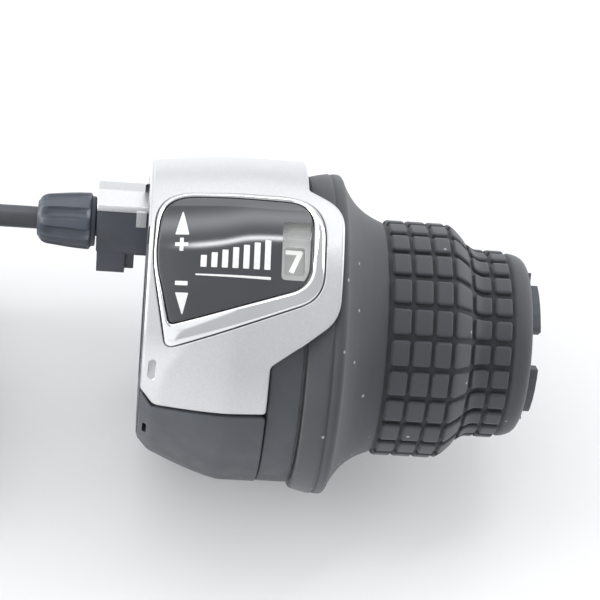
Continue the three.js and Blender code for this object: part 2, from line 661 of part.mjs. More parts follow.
// A strap round the bundle, on the side given by 1 or -1.
function coilTie(side) {
  const near = COIL_R - COIL_HALF - 0.5;
  const far = COIL_R + COIL_HALF + GAP;
  const loop = (grow) => {
    const x = [COIL_X + side * (near - grow), COIL_X + side * (far + grow)].sort((a, b) => a - b);
    return box([x[0], COIL_Y - TIE_WIDTH / 2 - grow, COIL_LOW - GAP - grow],
      [x[1], COIL_Y + TIE_WIDTH / 2 + grow, COIL_TOP + GAP + grow]);
  };
  const slab = box([COIL_X - 50, COIL_Y - TIE_WIDTH / 2, -60], [COIL_X + 50, COIL_Y + TIE_WIDTH / 2, 0]);
  return loop(TIE_THICK).subtract(loop(0)).intersect(slab);
}

// The casing's far end lies on the coil: its end cap, the inner wire's tail and the crimp on that.
const END = { y: COIL_Y - COIL_R, capR: 2.75, cap: [-64, -55], tail: [-54.6, -42], crimp: [-46, -39] };

function endPiece(from, to, radius, bore) {
  const z = COIL_TOP + GAP + END.capR;
  const body = rod([from, END.y, z], [to, END.y, z], radius, 16);
  return bore ? body.subtract(rod([from - 1, END.y, z], [to + 1, END.y, z], bore, 12)) : body;
}

// ---------------------------------------------------------------- assembly

function node(name, body, material) {
  const { numProp, vertProperties, triVerts } = body.getMesh();
  const points = new Float32Array((vertProperties.length / numProp) * 3);
  for (let i = 0; i < points.length; i += 1) {
    points[i] = vertProperties[Math.floor(i / 3) * numProp + (i % 3)];
  }
  const geometry = new THREE.BufferGeometry();
  geometry.setAttribute('position', new THREE.BufferAttribute(points, 3));
  geometry.setIndex(new THREE.BufferAttribute(Uint32Array.from(triVerts), 1));
  geometry.computeVertexNormals();
  const mesh = new THREE.Mesh(geometry, material);
  mesh.name = name;
  return mesh;
}

function group(...meshes) {
  const all = new THREE.Group();
  all.add(...meshes);
  return all;
}

const housing = group(
  node('main_housing', mainHousing(), BLACK_PLASTIC),
  node('silver_cover', silverCover(), SILVER_PAINT),
  node('lower_cover', lowerCover(), BLACK_PLASTIC),
  node('display_bezel', displayBezel(), CHROME),
  node('display_lens', displayLens(), CLEAR),
  node('display_plate', displayPlate(), GLOSS_BLACK),
  node('cable_guide', cableGuide(), WHITE_PLASTIC),
  node('inner_cable', sweep(wirePath(), WIRE_R, 8, 36), STEEL),
  node('detent_spring', detentSpring(), STEEL),
  node('thrust_washer', ring(WALL.start + 2.1, WALL.start + 2.8, 12.75, HUB_R, 40), WHITE_PLASTIC),
  node('clamp_bolt', clampBolt(), STEEL),
  node('clamp_nut', clampNut(), STEEL),
  ...COVER_SCREWS.map((screw) => node(screw.name, coverScrew(screw), STEEL)),
);

const grip = group(
  node('cable_drum', cableDrum(), WHITE_PLASTIC),
  node('cable_nipple', cableNipple(), STEEL),
  node('grip_core', gripCore(), BLACK_PLASTIC),
  node('gear_number_ring', gearNumberRing(), WHITE_PLASTIC),
  node('rubber_sleeve', rubberSleeve(), RUBBER),
);

const adjuster = group(
  node('adjuster_knob', adjusterKnob(), BLACK_PLASTIC),
  node('adjuster_barrel', adjusterBarrel(), BRASS),
);

const casing = group(
  node('casing_ferrule', casingFerrule(), BRASS),
  node('casing_tube', casingTube(), CASING),
  node('casing_coil', casingCoil(), CASING),
  node('coil_tie_near', coilTie(1), BLACK_PLASTIC),
  node('coil_tie_far', coilTie(-1), BLACK_PLASTIC),
  node('casing_end_cap', endPiece(...END.cap, END.capR, 0), STEEL),
  node('wire_tail', endPiece(...END.tail, WIRE_R, 0), STEEL),
  node('wire_crimp', endPiece(...END.crimp, 1.2, WIRE_R + GAP), STEEL),
);

const shifter = new THREE.Group();
shifter.name = 'twist_shifter';
shifter.add(housing, grip, adjuster, casing);

export default shifter;
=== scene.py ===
"""Looks for the bicycle twist shifter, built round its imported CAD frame.

Places on the barrel-shaped housing are (x, angle, radius): x along the handlebar and radius in
millimetres, angle in degrees from straight up (+Z) towards the rider (-Y). Everything is turned
into metres when it becomes a mesh.
"""
import math

import bmesh
import bpy
import numpy as np
from mathutils import Matrix, Vector
from mathutils.geometry import delaunay_2d_cdt


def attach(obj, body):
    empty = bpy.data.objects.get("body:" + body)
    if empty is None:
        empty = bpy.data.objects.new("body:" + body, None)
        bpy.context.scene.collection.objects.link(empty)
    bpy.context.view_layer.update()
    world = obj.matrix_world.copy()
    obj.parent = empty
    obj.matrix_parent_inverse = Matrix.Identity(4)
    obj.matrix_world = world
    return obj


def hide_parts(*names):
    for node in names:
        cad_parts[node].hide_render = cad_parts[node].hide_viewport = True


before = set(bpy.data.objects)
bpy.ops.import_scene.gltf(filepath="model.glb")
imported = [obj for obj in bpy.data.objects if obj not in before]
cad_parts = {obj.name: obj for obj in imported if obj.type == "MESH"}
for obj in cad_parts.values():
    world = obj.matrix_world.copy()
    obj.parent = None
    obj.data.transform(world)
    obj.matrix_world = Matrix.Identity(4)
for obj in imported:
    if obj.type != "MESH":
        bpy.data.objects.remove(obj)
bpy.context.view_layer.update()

MM = 0.001

# ------------------------------------------------------------------ sizes shared with the CAD, mm

BODY_R = 28.6
CROWN, CROWN_ANGLE, CROWN_SPREAD = 5.0, -15.0, 62.0
TAPER_LENGTH, TAPER_TOP, TAPER_BOTTOM = 16.0, 1.5, 6.0
SHELL = 1.8                      # how far a cover's walls go down
NOMINAL_R = 30.0
MM_PER_DEGREE = math.radians(1) * NOMINAL_R
CABLE_Y, CABLE_Z = 26.0, -3.5
CASING_R = 2.25
FLANGE_R = 30.4
FLOOR = -FLANGE_R
GEARS, CLICK = 7, 12.0           # a gear's step in degrees
SEAM_X, RING_END = 22.6, 28.8
COVER_BACK, COVER_FRONT = -92.0, 65.5
BLOCK_START, BLOCK_LOW, LEG_LOW = -9.9, -7.9, -14.6

# ------------------------------------------------------------------ camera

PIXELS, SENSOR = 600, 36.0
FOCAL_PIXELS = 2000.0
PIXELS_PER_MM = 5.25
AXIS_TILT, AXIS_TURN = math.radians(3.57), math.radians(4.98)
ELEVATION = math.radians(54.5)
AIM = Vector((30.0, 0.0, 0.0))
AIM_BELOW_CENTRE = 6.14


def make_camera():
    """The handlebar's axis tilts a little down to the right and runs slightly away."""
    along = Vector((
        math.cos(AXIS_TURN) * math.cos(AXIS_TILT),
        -math.cos(AXIS_TURN) * math.sin(AXIS_TILT),
        -math.sin(AXIS_TURN),
    ))
    towards = Vector((0, 0, 1))
    facing = (towards - towards.dot(along) * along).normalized()
    rising = facing.cross(along)
    low = math.pi / 2 - ELEVATION
    up = math.cos(low) * facing + math.sin(low) * rising
    rider = math.sin(low) * facing - math.cos(low) * rising
    rows = Matrix((
        (along[0], -rider[0], up[0]),
        (along[1], -rider[1], up[1]),
        (along[2], -rider[2], up[2]),
    ))
    distance = FOCAL_PIXELS / PIXELS_PER_MM
    place_of_camera = AIM - rows.transposed() @ Vector((0, -AIM_BELOW_CENTRE, -distance))
    data = bpy.data.cameras.new("camera")
    data.sensor_width = SENSOR
    data.lens = FOCAL_PIXELS * SENSOR / PIXELS
    data.clip_start = 0.01
    camera = bpy.data.objects.new("camera", data)
    camera.matrix_world = Matrix.Translation(place_of_camera * MM) @ rows.transposed().to_4x4()
    bpy.context.collection.objects.link(camera)
    bpy.context.scene.camera = camera


make_camera()

# ------------------------------------------------------------------ the barrel's surface


def point(x, angle, radius):
    turn = math.radians(angle)
    return (x * MM, -radius * math.sin(turn) * MM, radius * math.cos(turn) * MM)


def clamp01(value):
    return min(1.0, max(0.0, value))


def smooth(value):
    value = clamp01(value)
    return value * value * (3 - 2 * value)


def skin(x, angle):
    """Outer radius of the housing."""
    a = (angle + 180) % 360 - 180
    low = clamp01((a - 30) / 80) if a > 0 else clamp01((-110 - a) / 70)
    taper = TAPER_TOP + (TAPER_BOTTOM - TAPER_TOP) * low ** 1.2
    crown = CROWN * math.exp(-(((a - CROWN_ANGLE) / CROWN_SPREAD) ** 2))
    return BODY_R + crown - taper * max(0.0, 1 - x / TAPER_LENGTH) ** 1.3


# ------------------------------------------------------------------ meshes

WELD, SLIVER = 1e-7, 2e-6        # metres: points this near are one, faces this thin go


def add_object(name, vertices, faces, material, slots=None, sharp=35):
    mesh = bpy.data.meshes.new(name)
    mesh.from_pydata(vertices, [], faces)
    mesh.validate()
    obj = bpy.data.objects.new(name, mesh)
    bpy.context.collection.objects.link(obj)
    for one in material if isinstance(material, (list, tuple)) else [material]:
        mesh.materials.append(one)
    if slots is not None:
        mesh.polygons.foreach_set("material_index", slots)
    finish_mesh(mesh, sharp)
    return obj


def finish_mesh(mesh, sharp):
    work = bmesh.new()
    work.from_mesh(mesh)
    bmesh.ops.remove_doubles(work, verts=work.verts, dist=WELD)
    bmesh.ops.dissolve_degenerate(work, dist=SLIVER, edges=work.edges[:])
    bmesh.ops.recalc_face_normals(work, faces=work.faces)
    work.to_mesh(mesh)
    work.free()
    mesh.polygons.foreach_set("use_smooth", [True] * len(mesh.polygons))
    mesh.set_sharp_from_angle(angle=math.radians(sharp))
    mesh.update()


def grid_faces(rows, columns, wrap=True, closed=False):
    """Faces between rows of vertices. wrap joins the last row to the first, closed each row's ends."""
    faces = []
    for k in range(rows if wrap else rows - 1):
        here, after = k * columns, (k + 1) % rows * columns
        for i in range(columns if closed else columns - 1):
            j = (i + 1) % columns
            faces.append((here + i, here + j, after + j, after + i))
    return faces


def arc(cx, cr, radius, start, end, steps=6):
    """Points of a round corner in a lathe's profile, angles in degrees from +x towards +r."""
    turns = [math.radians(start + (end - start) * i / steps) for i in range(steps + 1)]
    return [(cx + radius * math.cos(t), cr + radius * math.sin(t)) for t in turns]


def bend(here, before, after, reach, steps):
    """A corner cut back along its two sides, given as vectors, and joined by a smooth bend."""
    start = here + before.normalized() * reach
    end = here + after.normalized() * reach
    shares = [k / steps for k in range(steps + 1)]
    return [tuple((1 - t) ** 2 * start + 2 * t * (1 - t) * here + t * t * end) for t in shares]


def sides(flat):
    """Each corner with the vectors to the corners before and after it."""
    for i, here in enumerate(flat):
        yield i, here, flat[i - 1] - here, flat[(i + 1) % len(flat)] - here


def rounded(corners, step=0.5):
    """A closed outline of [x, angle, corner radius] as evenly spaced (x, s) points, s in mm."""
    dense = []
    for i, here, before, after in sides([Vector((x, a * MM_PER_DEGREE)) for x, a, _ in corners]):
        half = before.angle(after) / 2
        reach = min(corners[i][2] / math.tan(half), 0.49 * before.length, 0.49 * after.length)
        dense += bend(here, before, after, reach, 16)
    return respaced(np.array(dense), step)


def respaced(loop, step):
    """The loop with its points spread evenly along it."""
    closed = np.vstack([loop, loop[:1]])
    lengths = np.concatenate([[0], np.cumsum(np.linalg.norm(np.diff(closed, axis=0), axis=1))])
    count = max(12, int(lengths[-1] / step))
    at = np.linspace(0, lengths[-1], count, endpoint=False)
    return np.stack([np.interp(at, lengths, closed[:, k]) for k in (0, 1)], axis=1)


def area(loop):
    x, y = loop[:, 0], loop[:, 1]
    return 0.5 * float(np.sum(x * np.roll(y, -1) - y * np.roll(x, -1)))


def inset(loop, distance):
    """The loop moved inwards by a distance."""
    along = np.roll(loop, -1, axis=0) - np.roll(loop, 1, axis=0)
    along /= np.linalg.norm(along, axis=1)[:, None] + 1e-12
    normal = np.stack([-along[:, 1], along[:, 0]], axis=1) * (1 if area(loop) > 0 else -1)
    return loop + normal * distance


def inside(loop, points):
    """Which of the points lie in the loop."""
    x, y = points[:, 0][:, None], points[:, 1][:, None]
    x0, y0 = loop[:, 0][None], loop[:, 1][None]
    x1, y1 = np.roll(loop[:, 0], -1)[None], np.roll(loop[:, 1], -1)[None]
    crosses = (y0 > y) != (y1 > y)
    where = (x1 - x0) * (y - y0) / np.where(y1 == y0, 1e-12, y1 - y0) + x0
    return (np.sum(crosses & (x < where), axis=1) % 2) == 1


ROLL_STEPS = (0.0, 0.08, 0.22, 0.42, 0.68, 1.0)
MARGIN = 0.4                     # a flat rim inside the roll, which keeps its shading narrow
EDGE_ROOM, REGION_ROOM = 0.45, 0.4   # grid points keep off the loops by these shares of a step


OVER_FLANGE, OVER_RING = FLANGE_R + 0.4, 28.75


def lowest(x):
    """The least radius of a piece above the housing's front ring and the grip's rim."""
    if x > RING_END - 1.4:
        return OVER_FLANGE
    return OVER_RING if x > SEAM_X - 1.2 else 0.0


def patch(name, outer, material, lift, holes=(), roll=0.6, hole_roll=None, depth=SHELL, grid=0.8,
          regions=(), sharp=40, surface=skin):
    """A piece of the barrel's skin with rolled-over edges, and walls that go down by a depth.

    lift(x, s) raises the surface, in mm. regions are loops whose faces take the next materials.
    """
    hole_roll = roll if hole_roll is None else hole_roll
    vertices, faces, slots = [], [], []

    def radius(x, s, drop):
        top = surface(x, s / MM_PER_DEGREE) + lift(x, s)
        return min(top, max(top - drop, lowest(x)))

    def add(loop, drop):
        start = len(vertices)
        for x, s in loop:
            vertices.append(point(x, s / MM_PER_DEGREE, radius(x, s, drop)))
        return list(range(start, start + len(loop)))

    def strip(one, two):
        for i in range(len(one)):
            j = (i + 1) % len(one)
            faces.append((one[i], one[j], two[j], two[i]))
            slots.append(0)

    inner_loops = []
    for loop, width, sign in [(outer, roll, 1)] + [(hole, hole_roll, -1) for hole in holes]:
        rings = [add(loop, depth)]
        last = loop
        for step in ROLL_STEPS:
            last = inset(loop, sign * width * step)
            rings.append(add(last, width * (1 - math.sqrt(max(0.0, 1 - (1 - step) ** 2)))))
        last = inset(loop, sign * width * (1 + MARGIN))
        rings.append(add(last, 0.0))
        for one, two in zip(rings, rings[1:]):
            strip(one, two)
        inner_loops.append((last, rings[-1]))

    loops = [loop for loop, _ in inner_loops] + list(regions)
    ids = [i for _, ring in inner_loops for i in ring]
    for region in regions:
        ids += add(region, 0.0)
    edges = []
    start = 0
    for loop in loops:
        edges += [(start + i, start + (i + 1) % len(loop)) for i in range(len(loop))]
        start += len(loop)
    low, high = outer.min(axis=0), outer.max(axis=0)
    xs = np.arange(low[0] + grid / 2, high[0], grid)
    ys = np.arange(low[1] + grid / 2, high[1], grid)
    mesh_points = np.array([(x, y) for x in xs for y in ys])
    keep = inside(inset(inner_loops[0][0], grid * EDGE_ROOM), mesh_points)
    for loop, _ in inner_loops[1:]:
        keep &= ~inside(inset(loop, -grid * EDGE_ROOM), mesh_points)
    for region in regions:
        gaps = np.min(np.linalg.norm(mesh_points[:, None] - region[None], axis=2), axis=1)
        keep &= gaps > grid * REGION_ROOM
    mesh_points = mesh_points[keep]
    ids += add(mesh_points, 0.0)
    every = [Vector(p) for p in np.vstack(loops + [mesh_points])]
    new_points, _, new_faces, origins, *_ = delaunay_2d_cdt(every, edges, [], 0, 1e-9)
    lookup = []
    for index, was in enumerate(origins):
        if was:
            lookup.append(ids[was[0]])
        else:
            x, s = new_points[index]
            vertices.append(point(x, s / MM_PER_DEGREE, radius(x, s, 0.0)))
            lookup.append(len(vertices) - 1)
    centres = np.array([np.mean([tuple(new_points[i]) for i in face], axis=0) for face in new_faces])
    use = inside(inner_loops[0][0], centres)
    for loop, _ in inner_loops[1:]:
        use &= ~inside(loop, centres)
    slot_of = np.zeros(len(centres), int)
    for k, region in enumerate(regions):
        slot_of[inside(region, centres)] = k + 1
    for index, face in enumerate(new_faces):
        if use[index]:
            faces.append(tuple(lookup[i] for i in face))
            slots.append(int(slot_of[index]))
    return add_object(name, vertices, faces, material, slots if regions else None, sharp)


def flat_lift(amount):
    return lambda x, s: amount


# ------------------------------------------------------------------ materials


class Nodes:
    """A small helper for building a material's node tree."""

    def __init__(self, name):
        self.material = bpy.data.materials.new(name)
        self.material.use_nodes = True
        self.tree = self.material.node_tree
        self.shader = self.tree.nodes["Principled BSDF"]
        self.coords = self.tree.nodes.new("ShaderNodeTexCoord").outputs["Object"]

    def add(self, kind, inputs=(), **settings):
        node = self.tree.nodes.new(kind)
        for key, value in settings.items():
            setattr(node, key, value)
        for key, value in dict(inputs).items():
            if isinstance(value, bpy.types.NodeSocket):
                self.tree.links.new(value, node.inputs[key])
            else:
                node.inputs[key].default_value = value
        return node

    def noise(self, scale, detail=3.0, rough=0.55, stretch=None):
        source = self.coords
        if stretch:
            source = self.add("ShaderNodeMapping", {"Vector": source, "Scale": stretch}).outputs[0]
        return self.add("ShaderNodeTexNoise", {
            "Vector": source, "Scale": scale, "Detail": detail, "Roughness": rough,
        }).outputs["Fac"]

    def ramp(self, value, stops):
        node = self.add("ShaderNodeValToRGB", {"Fac": value})
        ramp = node.color_ramp
        while len(ramp.elements) < len(stops):
            ramp.elements.new(0.5)
        for element, (at, color) in zip(ramp.elements, stops):
            element.position = at
            element.color = (*color, 1.0)
        return node.outputs["Color"]

    def spread(self, value, low, high, start=0.0, end=1.0):
        return self.add("ShaderNodeMapRange", {
            "Value": value, "From Min": start, "From Max": end, "To Min": low, "To Max": high,
        }).outputs["Result"]

    def bump(self, height, strength, distance, normal=None):
        inputs = {"Height": height, "Strength": strength, "Distance": distance}
        if normal is not None:
            inputs["Normal"] = normal
        return self.add("ShaderNodeBump", inputs).outputs["Normal"]

    def set(self, **values):
        """Values or links for the shader's inputs, with _ for the spaces in their names."""
        for key, value in values.items():
            socket = self.shader.inputs[key.replace("_", " ")]
            if isinstance(value, bpy.types.NodeSocket):
                self.tree.links.new(value, socket)
            else:
                socket.default_value = value


def two_tone(color, change):
    """A color a share darker, and a share lighter."""
    low = tuple(max(0.0, c * (1 - change)) for c in color)
    high = tuple(min(1.0, c * (1 + change)) for c in color)
    return low, high


def moulded_plastic(name, color, rough=0.5, bump=0.12):
    """Spark-eroded plastic: fine grain, soft clouding, faint wear."""
    n = Nodes(name)
    low, high = two_tone(color, 0.12)
    clouds = n.noise(90, 4)
    fine = n.noise(2600, 2, 0.7)
    n.set(
        Base_Color=n.ramp(clouds, [(0.35, low), (0.65, high)]),
        Roughness=n.spread(n.noise(240, 3), rough - 0.07, rough + 0.1, 0.3, 0.7),
        Normal=n.bump(fine, bump, 0.00008),
        IOR=1.5,
    )
    return n.material


DUST_SCALE, DUST_RARE = 420.0, 0.88   # cells in a metre, and the share of them without a speck


def rubber(name, low, high):
    """Matt grip rubber with a fine bloom and a few specks of dust."""
    n = Nodes(name)
    bloom = n.noise(55, 5, 0.6)
    fine = n.noise(1700, 2, 0.6)
    base = n.ramp(bloom, [(0.3, low), (0.7, high)])
    dust = n.add("ShaderNodeTexVoronoi", {"Vector": n.coords, "Scale": DUST_SCALE, "Randomness": 1.0})
    near = n.spread(dust.outputs["Distance"], 1.0, 0.0, 0.08, 0.16)
    chance = n.add("ShaderNodeSeparateColor", {"Color": dust.outputs["Color"]}).outputs[0]
    chosen = n.add("ShaderNodeMath", {0: chance, 1: DUST_RARE}, operation="GREATER_THAN").outputs[0]
    speck = n.add("ShaderNodeMath", {0: near, 1: chosen}, operation="MULTIPLY").outputs[0]
    n.set(
        Base_Color=n.add("ShaderNodeMix", {0: speck, 6: base, 7: (0.42, 0.43, 0.44, 1.0)},
                         data_type="RGBA").outputs[2],
        Roughness=n.spread(bloom, 0.62, 0.78, 0.3, 0.7),
        Normal=n.bump(fine, 0.28, 0.00008, n.bump(n.noise(300, 3), 0.06, 0.0002)),
        Sheen_Weight=0.22,
        Sheen_Roughness=0.5,
    )
    return n.material


def silver_paint():
    """Satin silver lacquer: metal flake under a clear coat."""
    n = Nodes("silver_lacquer")
    flake = n.add("ShaderNodeTexVoronoi", {"Vector": n.coords, "Scale": 5200.0}).outputs["Color"]
    value = n.add("ShaderNodeSeparateColor", {"Color": flake}).outputs[0]
    n.set(
        Base_Color=n.ramp(value, [(0.0, (0.603, 0.607, 0.616)), (1.0, (0.658, 0.662, 0.672))]),
        Roughness=n.spread(n.noise(160, 3), 0.34, 0.42, 0.3, 0.7),
        Normal=n.bump(n.noise(900, 2), 0.02, 0.00004),
        Metallic=0.5,
        Coat_Weight=0.35,
        Coat_Roughness=0.12,
    )
    return n.material


def chrome():
    """Bright plating with the faintest waves."""
    n = Nodes("chrome_plate")
    n.set(
        Base_Color=n.ramp(n.noise(70, 2), [(0.3, (0.80, 0.81, 0.82)), (0.7, (0.88, 0.885, 0.89))]),
        Roughness=n.spread(n.noise(500, 3), 0.05, 0.11, 0.3, 0.7),
        Normal=n.bump(n.noise(160, 2), 0.03, 0.0001),
        Metallic=1.0,
    )
    return n.material


def lens_black():
    """Clear plastic printed black on its back: deep gloss with faint surface waves."""
    n = Nodes("lens_black")
    n.set(
        Base_Color=n.ramp(n.noise(60, 2), [
            (0.3, (0.036, 0.039, 0.044)), (0.7, (0.046, 0.049, 0.054)),
        ]),
        Roughness=n.spread(n.noise(700, 3), 0.06, 0.1, 0.3, 0.7),
        Normal=n.bump(n.noise(45, 1), 0.02, 0.0003),
        Coat_Weight=1.0,
        Coat_Roughness=0.03,
    )
    return n.material


def lens_clear():
    """The unprinted window, slightly milky."""
    n = Nodes("lens_clear")
    n.set(
        Base_Color=n.ramp(n.noise(80, 2), [(0.3, (0.62, 0.63, 0.62)), (0.7, (0.72, 0.72, 0.7))]),
        Roughness=n.spread(n.noise(500, 3), 0.05, 0.1, 0.3, 0.7),
        Alpha=0.12,
        Coat_Weight=1.0,
        Coat_Roughness=0.03,
    )
    return n.material


def glowing(material, color, strength):
    """A little light of its own, standing in for light that comes in through clear plastic."""
    shader = material.node_tree.nodes["Principled BSDF"]
    shader.inputs["Emission Color"].default_value = (*color, 1.0)
    shader.inputs["Emission Strength"].default_value = strength
    return material


def print_white(name):
    """Glossy white ink."""
    n = Nodes(name)
    n.set(
        Base_Color=n.ramp(n.noise(900, 2), [(0.2, (0.78, 0.78, 0.76)), (0.8, (0.9, 0.9, 0.88))]),
        Roughness=0.35,
        Coat_Weight=0.8,
        Coat_Roughness=0.05,
    )
    return n.material


def metal(name, color, rough, stretch=(1, 1, 1)):
    """Turned or drawn metal with fine lines along its stretch."""
    n = Nodes(name)
    low, high = two_tone(color, 0.15)
    lines = n.noise(900, 2, 0.6, stretch)
    n.set(
        Base_Color=n.ramp(n.noise(120, 3), [(0.3, low), (0.7, high)]),
        Roughness=n.spread(lines, rough - 0.08, rough + 0.12, 0.3, 0.7),
        Normal=n.bump(lines, 0.08, 0.00005),
        Metallic=1.0,
    )
    return n.material


def casing_sheath():
    """The smooth extruded sheath of the cable's casing."""
    n = Nodes("casing_sheath")
    n.set(
        Base_Color=n.ramp(n.noise(60, 3), [
            (0.3, (0.055, 0.058, 0.066)), (0.7, (0.075, 0.079, 0.088)),
        ]),
        Roughness=n.spread(n.noise(500, 3), 0.34, 0.48, 0.3, 0.7),
        Normal=n.bump(n.noise(1200, 2), 0.06, 0.00006),
    )
    return n.material


def table_top():
    """The pale studio floor."""
    n = Nodes("table_top")
    n.set(
        Base_Color=n.ramp(n.noise(8, 2), [(0.3, (0.70, 0.70, 0.705)), (0.7, (0.72, 0.72, 0.722))]),
        Roughness=0.6,
    )
    return glowing(n.material, (1.0, 1.0, 1.0), 0.16)


BLACK = moulded_plastic("black_plastic", (0.072, 0.077, 0.088))
BLACK_SMOOTH = moulded_plastic("black_plastic_smooth", (0.076, 0.086, 0.106), 0.42, bump=0.05)
PALE = moulded_plastic("pale_plastic", (0.62, 0.62, 0.59), 0.45)
GREY, PALE_GREY = (0.5, 0.51, 0.5), (0.6, 0.61, 0.6)
# painted light: the number ring and the mask glow, standing in for light that comes in through the lens
RING_GREY = glowing(moulded_plastic("number_ring_grey", GREY), GREY, 0.3)
MASK_GREY = glowing(moulded_plastic("mask_grey", PALE_GREY), PALE_GREY, 0.3)
TIE = moulded_plastic("tie_nylon", (0.035, 0.036, 0.04), 0.4)
RUBBER = rubber("grip_rubber", (0.046, 0.049, 0.056), (0.068, 0.071, 0.079))
# painted shade: a darker copy of the rubber for the grooves, standing in for the shade down between the
# pads
RUBBER_GROOVE_SHADE = rubber("groove_rubber_painted_shade", (0.02, 0.0215, 0.025), (0.03, 0.0315, 0.035))
SILVER = silver_paint()
CHROME = chrome()
LENS_BLACK = lens_black()
LENS_CLEAR = lens_clear()
PRINT = print_white("white_print")
# painted light: the numbers glow, standing in for light that comes in through the lens
NUMBER_PRINT = glowing(print_white("number_print"), (0.95, 0.95, 0.93), 0.8)
STEEL = metal("zinc_steel", (0.55, 0.56, 0.57), 0.3)
WIRE = metal("drawn_wire", (0.5, 0.51, 0.52), 0.32, (1, 4, 4))
ALUMINIUM = metal("crimped_aluminium", (0.72, 0.72, 0.73), 0.35)
CASING = casing_sheath()

# ------------------------------------------------------------------ casing: cord first


def spline_points(points, count):
    """Evenly spaced points on a smooth curve through the given ones, and the curve's length."""
    pts = [Vector(p) for p in points]
    pts = [2 * pts[0] - pts[1]] + pts + [2 * pts[-1] - pts[-2]]
    dense = []
    for i in range(1, len(pts) - 2):
        for k in range(24):
            t = k / 24
            a, b, c, d = pts[i - 1:i + 3]
            dense.append(0.5 * ((2 * b) + (c - a) * t + (2 * a - 5 * b + 4 * c - d) * t * t
                                + (3 * b - a - 3 * c + d) * t ** 3))
    dense.append(pts[-2])
    steps = np.array([tuple(p) for p in dense])
    lengths = np.concatenate([[0], np.cumsum(np.linalg.norm(np.diff(steps, axis=0), axis=1))])
    at = np.linspace(0, lengths[-1], count)
    return np.stack([np.interp(at, lengths, steps[:, k]) for k in range(3)], axis=1), lengths[-1]


COIL_R, COIL_COLUMNS, COIL_LAYERS = 25.0, 2, 6
COIL_X = -64.0
COIL_Y = CABLE_Y - COIL_R - (COIL_COLUMNS - 1) * CASING_R
TIE_THICK, GAP = 0.5, 0.3
COIL_LOW = FLOOR + TIE_THICK + GAP
COIL_TOP = COIL_LOW + 2 * CASING_R * COIL_LAYERS
END_Z = COIL_TOP + GAP + 2.75    # the casing's end lies in its cap on top of the coil
PITCH = 2 * CASING_R + 0.06

LEAD = [
    (-14, CABLE_Y, CABLE_Z), (-21.6, CABLE_Y, CABLE_Z), (-30, CABLE_Y, CABLE_Z),
    (-37, CABLE_Y, -3.62), (-43, CABLE_Y, -3.95), (-47.9, CABLE_Y, -4.24), (-53, CABLE_Y, -4.4),
    (-58.5, CABLE_Y, -4.5),
]
STEPS_A_TURN = 24
TURNS_DOWN, TURNS_IN_ALL = 5, 10.5
STEP_DOWN, STEP_IN, STEP_UP = (0.70, 0.98), (0.42, 0.74), (0.12, 0.40)   # shares of a turn


def ramp(value, span):
    """From 0 to 1 over the span, with eased ends."""
    return smooth((value - span[0]) / (span[1] - span[0]))


def coil_spot(turns):
    """Radius and height of the casing's line after so many turns.

    It winds down the outer column a layer a turn, moves in at the bottom and winds up the inner
    column, then rises on to the top of the coil.
    """
    top = COIL_LOW + CASING_R + (COIL_LAYERS - 1) * PITCH
    outer = COIL_R + PITCH / 2
    down = sum(ramp(turns - k, STEP_DOWN) for k in range(TURNS_DOWN))
    move = ramp(turns - TURNS_DOWN, STEP_IN)
    climbs = range(TURNS_DOWN + 1, int(TURNS_IN_ALL))
    up = sum(ramp(turns - k, STEP_UP) for k in climbs)
    height = top - (down - up) * PITCH
    last = ramp(turns, (TURNS_IN_ALL - 0.46, TURNS_IN_ALL - 0.12))
    height += (END_Z - height) * last
    radius = outer - PITCH * move
    radius += (COIL_R - radius) * ramp(turns, (TURNS_IN_ALL - 0.24, TURNS_IN_ALL + 0.06))
    return radius, height


def cord_route():
    """The lead, then the coil, anticlockwise seen from above, then the end on top of it."""
    points = list(LEAD)
    for k in range(int(TURNS_IN_ALL * STEPS_A_TURN) + 1):
        turns = k / STEPS_A_TURN
        radius, height = coil_spot(turns)
        turn = math.pi / 2 + 2 * math.pi * turns
        points.append((COIL_X + radius * math.cos(turn), COIL_Y + radius * math.sin(turn), height))
    return points + [(COIL_X + 1.0, COIL_Y - COIL_R, END_Z)]


def make_casing():
    dense, length = spline_points(cord_route(), 1400)
    curve = bpy.data.curves.new("casing", "CURVE")
    curve.dimensions = "3D"
    curve.bevel_depth = CASING_R * MM
    curve.bevel_resolution = 5
    curve.use_fill_caps = True
    spline = curve.splines.new("POLY")
    spline.points.add(len(dense) - 1)
    for index, (x, y, z) in enumerate(dense):
        spline.points[index].co = (x * MM, y * MM, z * MM, 1)
    spline.use_smooth = True
    curve.materials.append(CASING)
    obj = bpy.data.objects.new("casing", curve)
    bpy.context.collection.objects.link(obj)
    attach(obj, "casing")
    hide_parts("casing_tube", "casing_coil")
    return obj, length * MM


casing, casing_length = make_casing()

# ------------------------------------------------------------------ outlines shared with the CAD

LENS_CORNERS = [[2.2, -9.6, 7], [29, -8.4, 5], [28.8, 20.2, 5], [4.3, 34.8, 1], [1.2, 13, 20]]
BEZEL_CORNERS = [[1.2, -11.2, 7.5], [31.2, -10.6, 8], [31.0, 23.6, 6], [4.0, 43, 1.4], [0.9, 14, 25]]
COVER_CORNERS = [
    [0.08, -69.2, 0.3], [0.6, -69.8, 0.3], [0.6, COVER_BACK, 0.8], [28.3, COVER_BACK, 0.8],
    [28.3, -15.2, 1], [34.6, -7.2, 8.5], [34.2, 30, 7], [SEAM_X, 47, 1.5],
    [SEAM_X, COVER_FRONT, 0.8], [2.3, COVER_FRONT + 2, 0.5], [0.08, 62, 1.0],
]
LOWER_CORNERS = [
    [0.15, 62.8, 0.4], [2.25, 68.6, 0.5], [SEAM_X, 66.7, 0.8], [SEAM_X, 267.2, 0.6],
    [0.15, 267.2, 0.6],
]
DIMPLE = (1.95, 49.3, 54.7, 0.58)   # x, the first and last angle, half the width


def box(x0, x1, a0, a1, corner):
    """The corners of an outline with square sides."""
    return [[x0, a0, corner], [x1, a0, corner], [x1, a1, corner], [x0, a1, corner]]


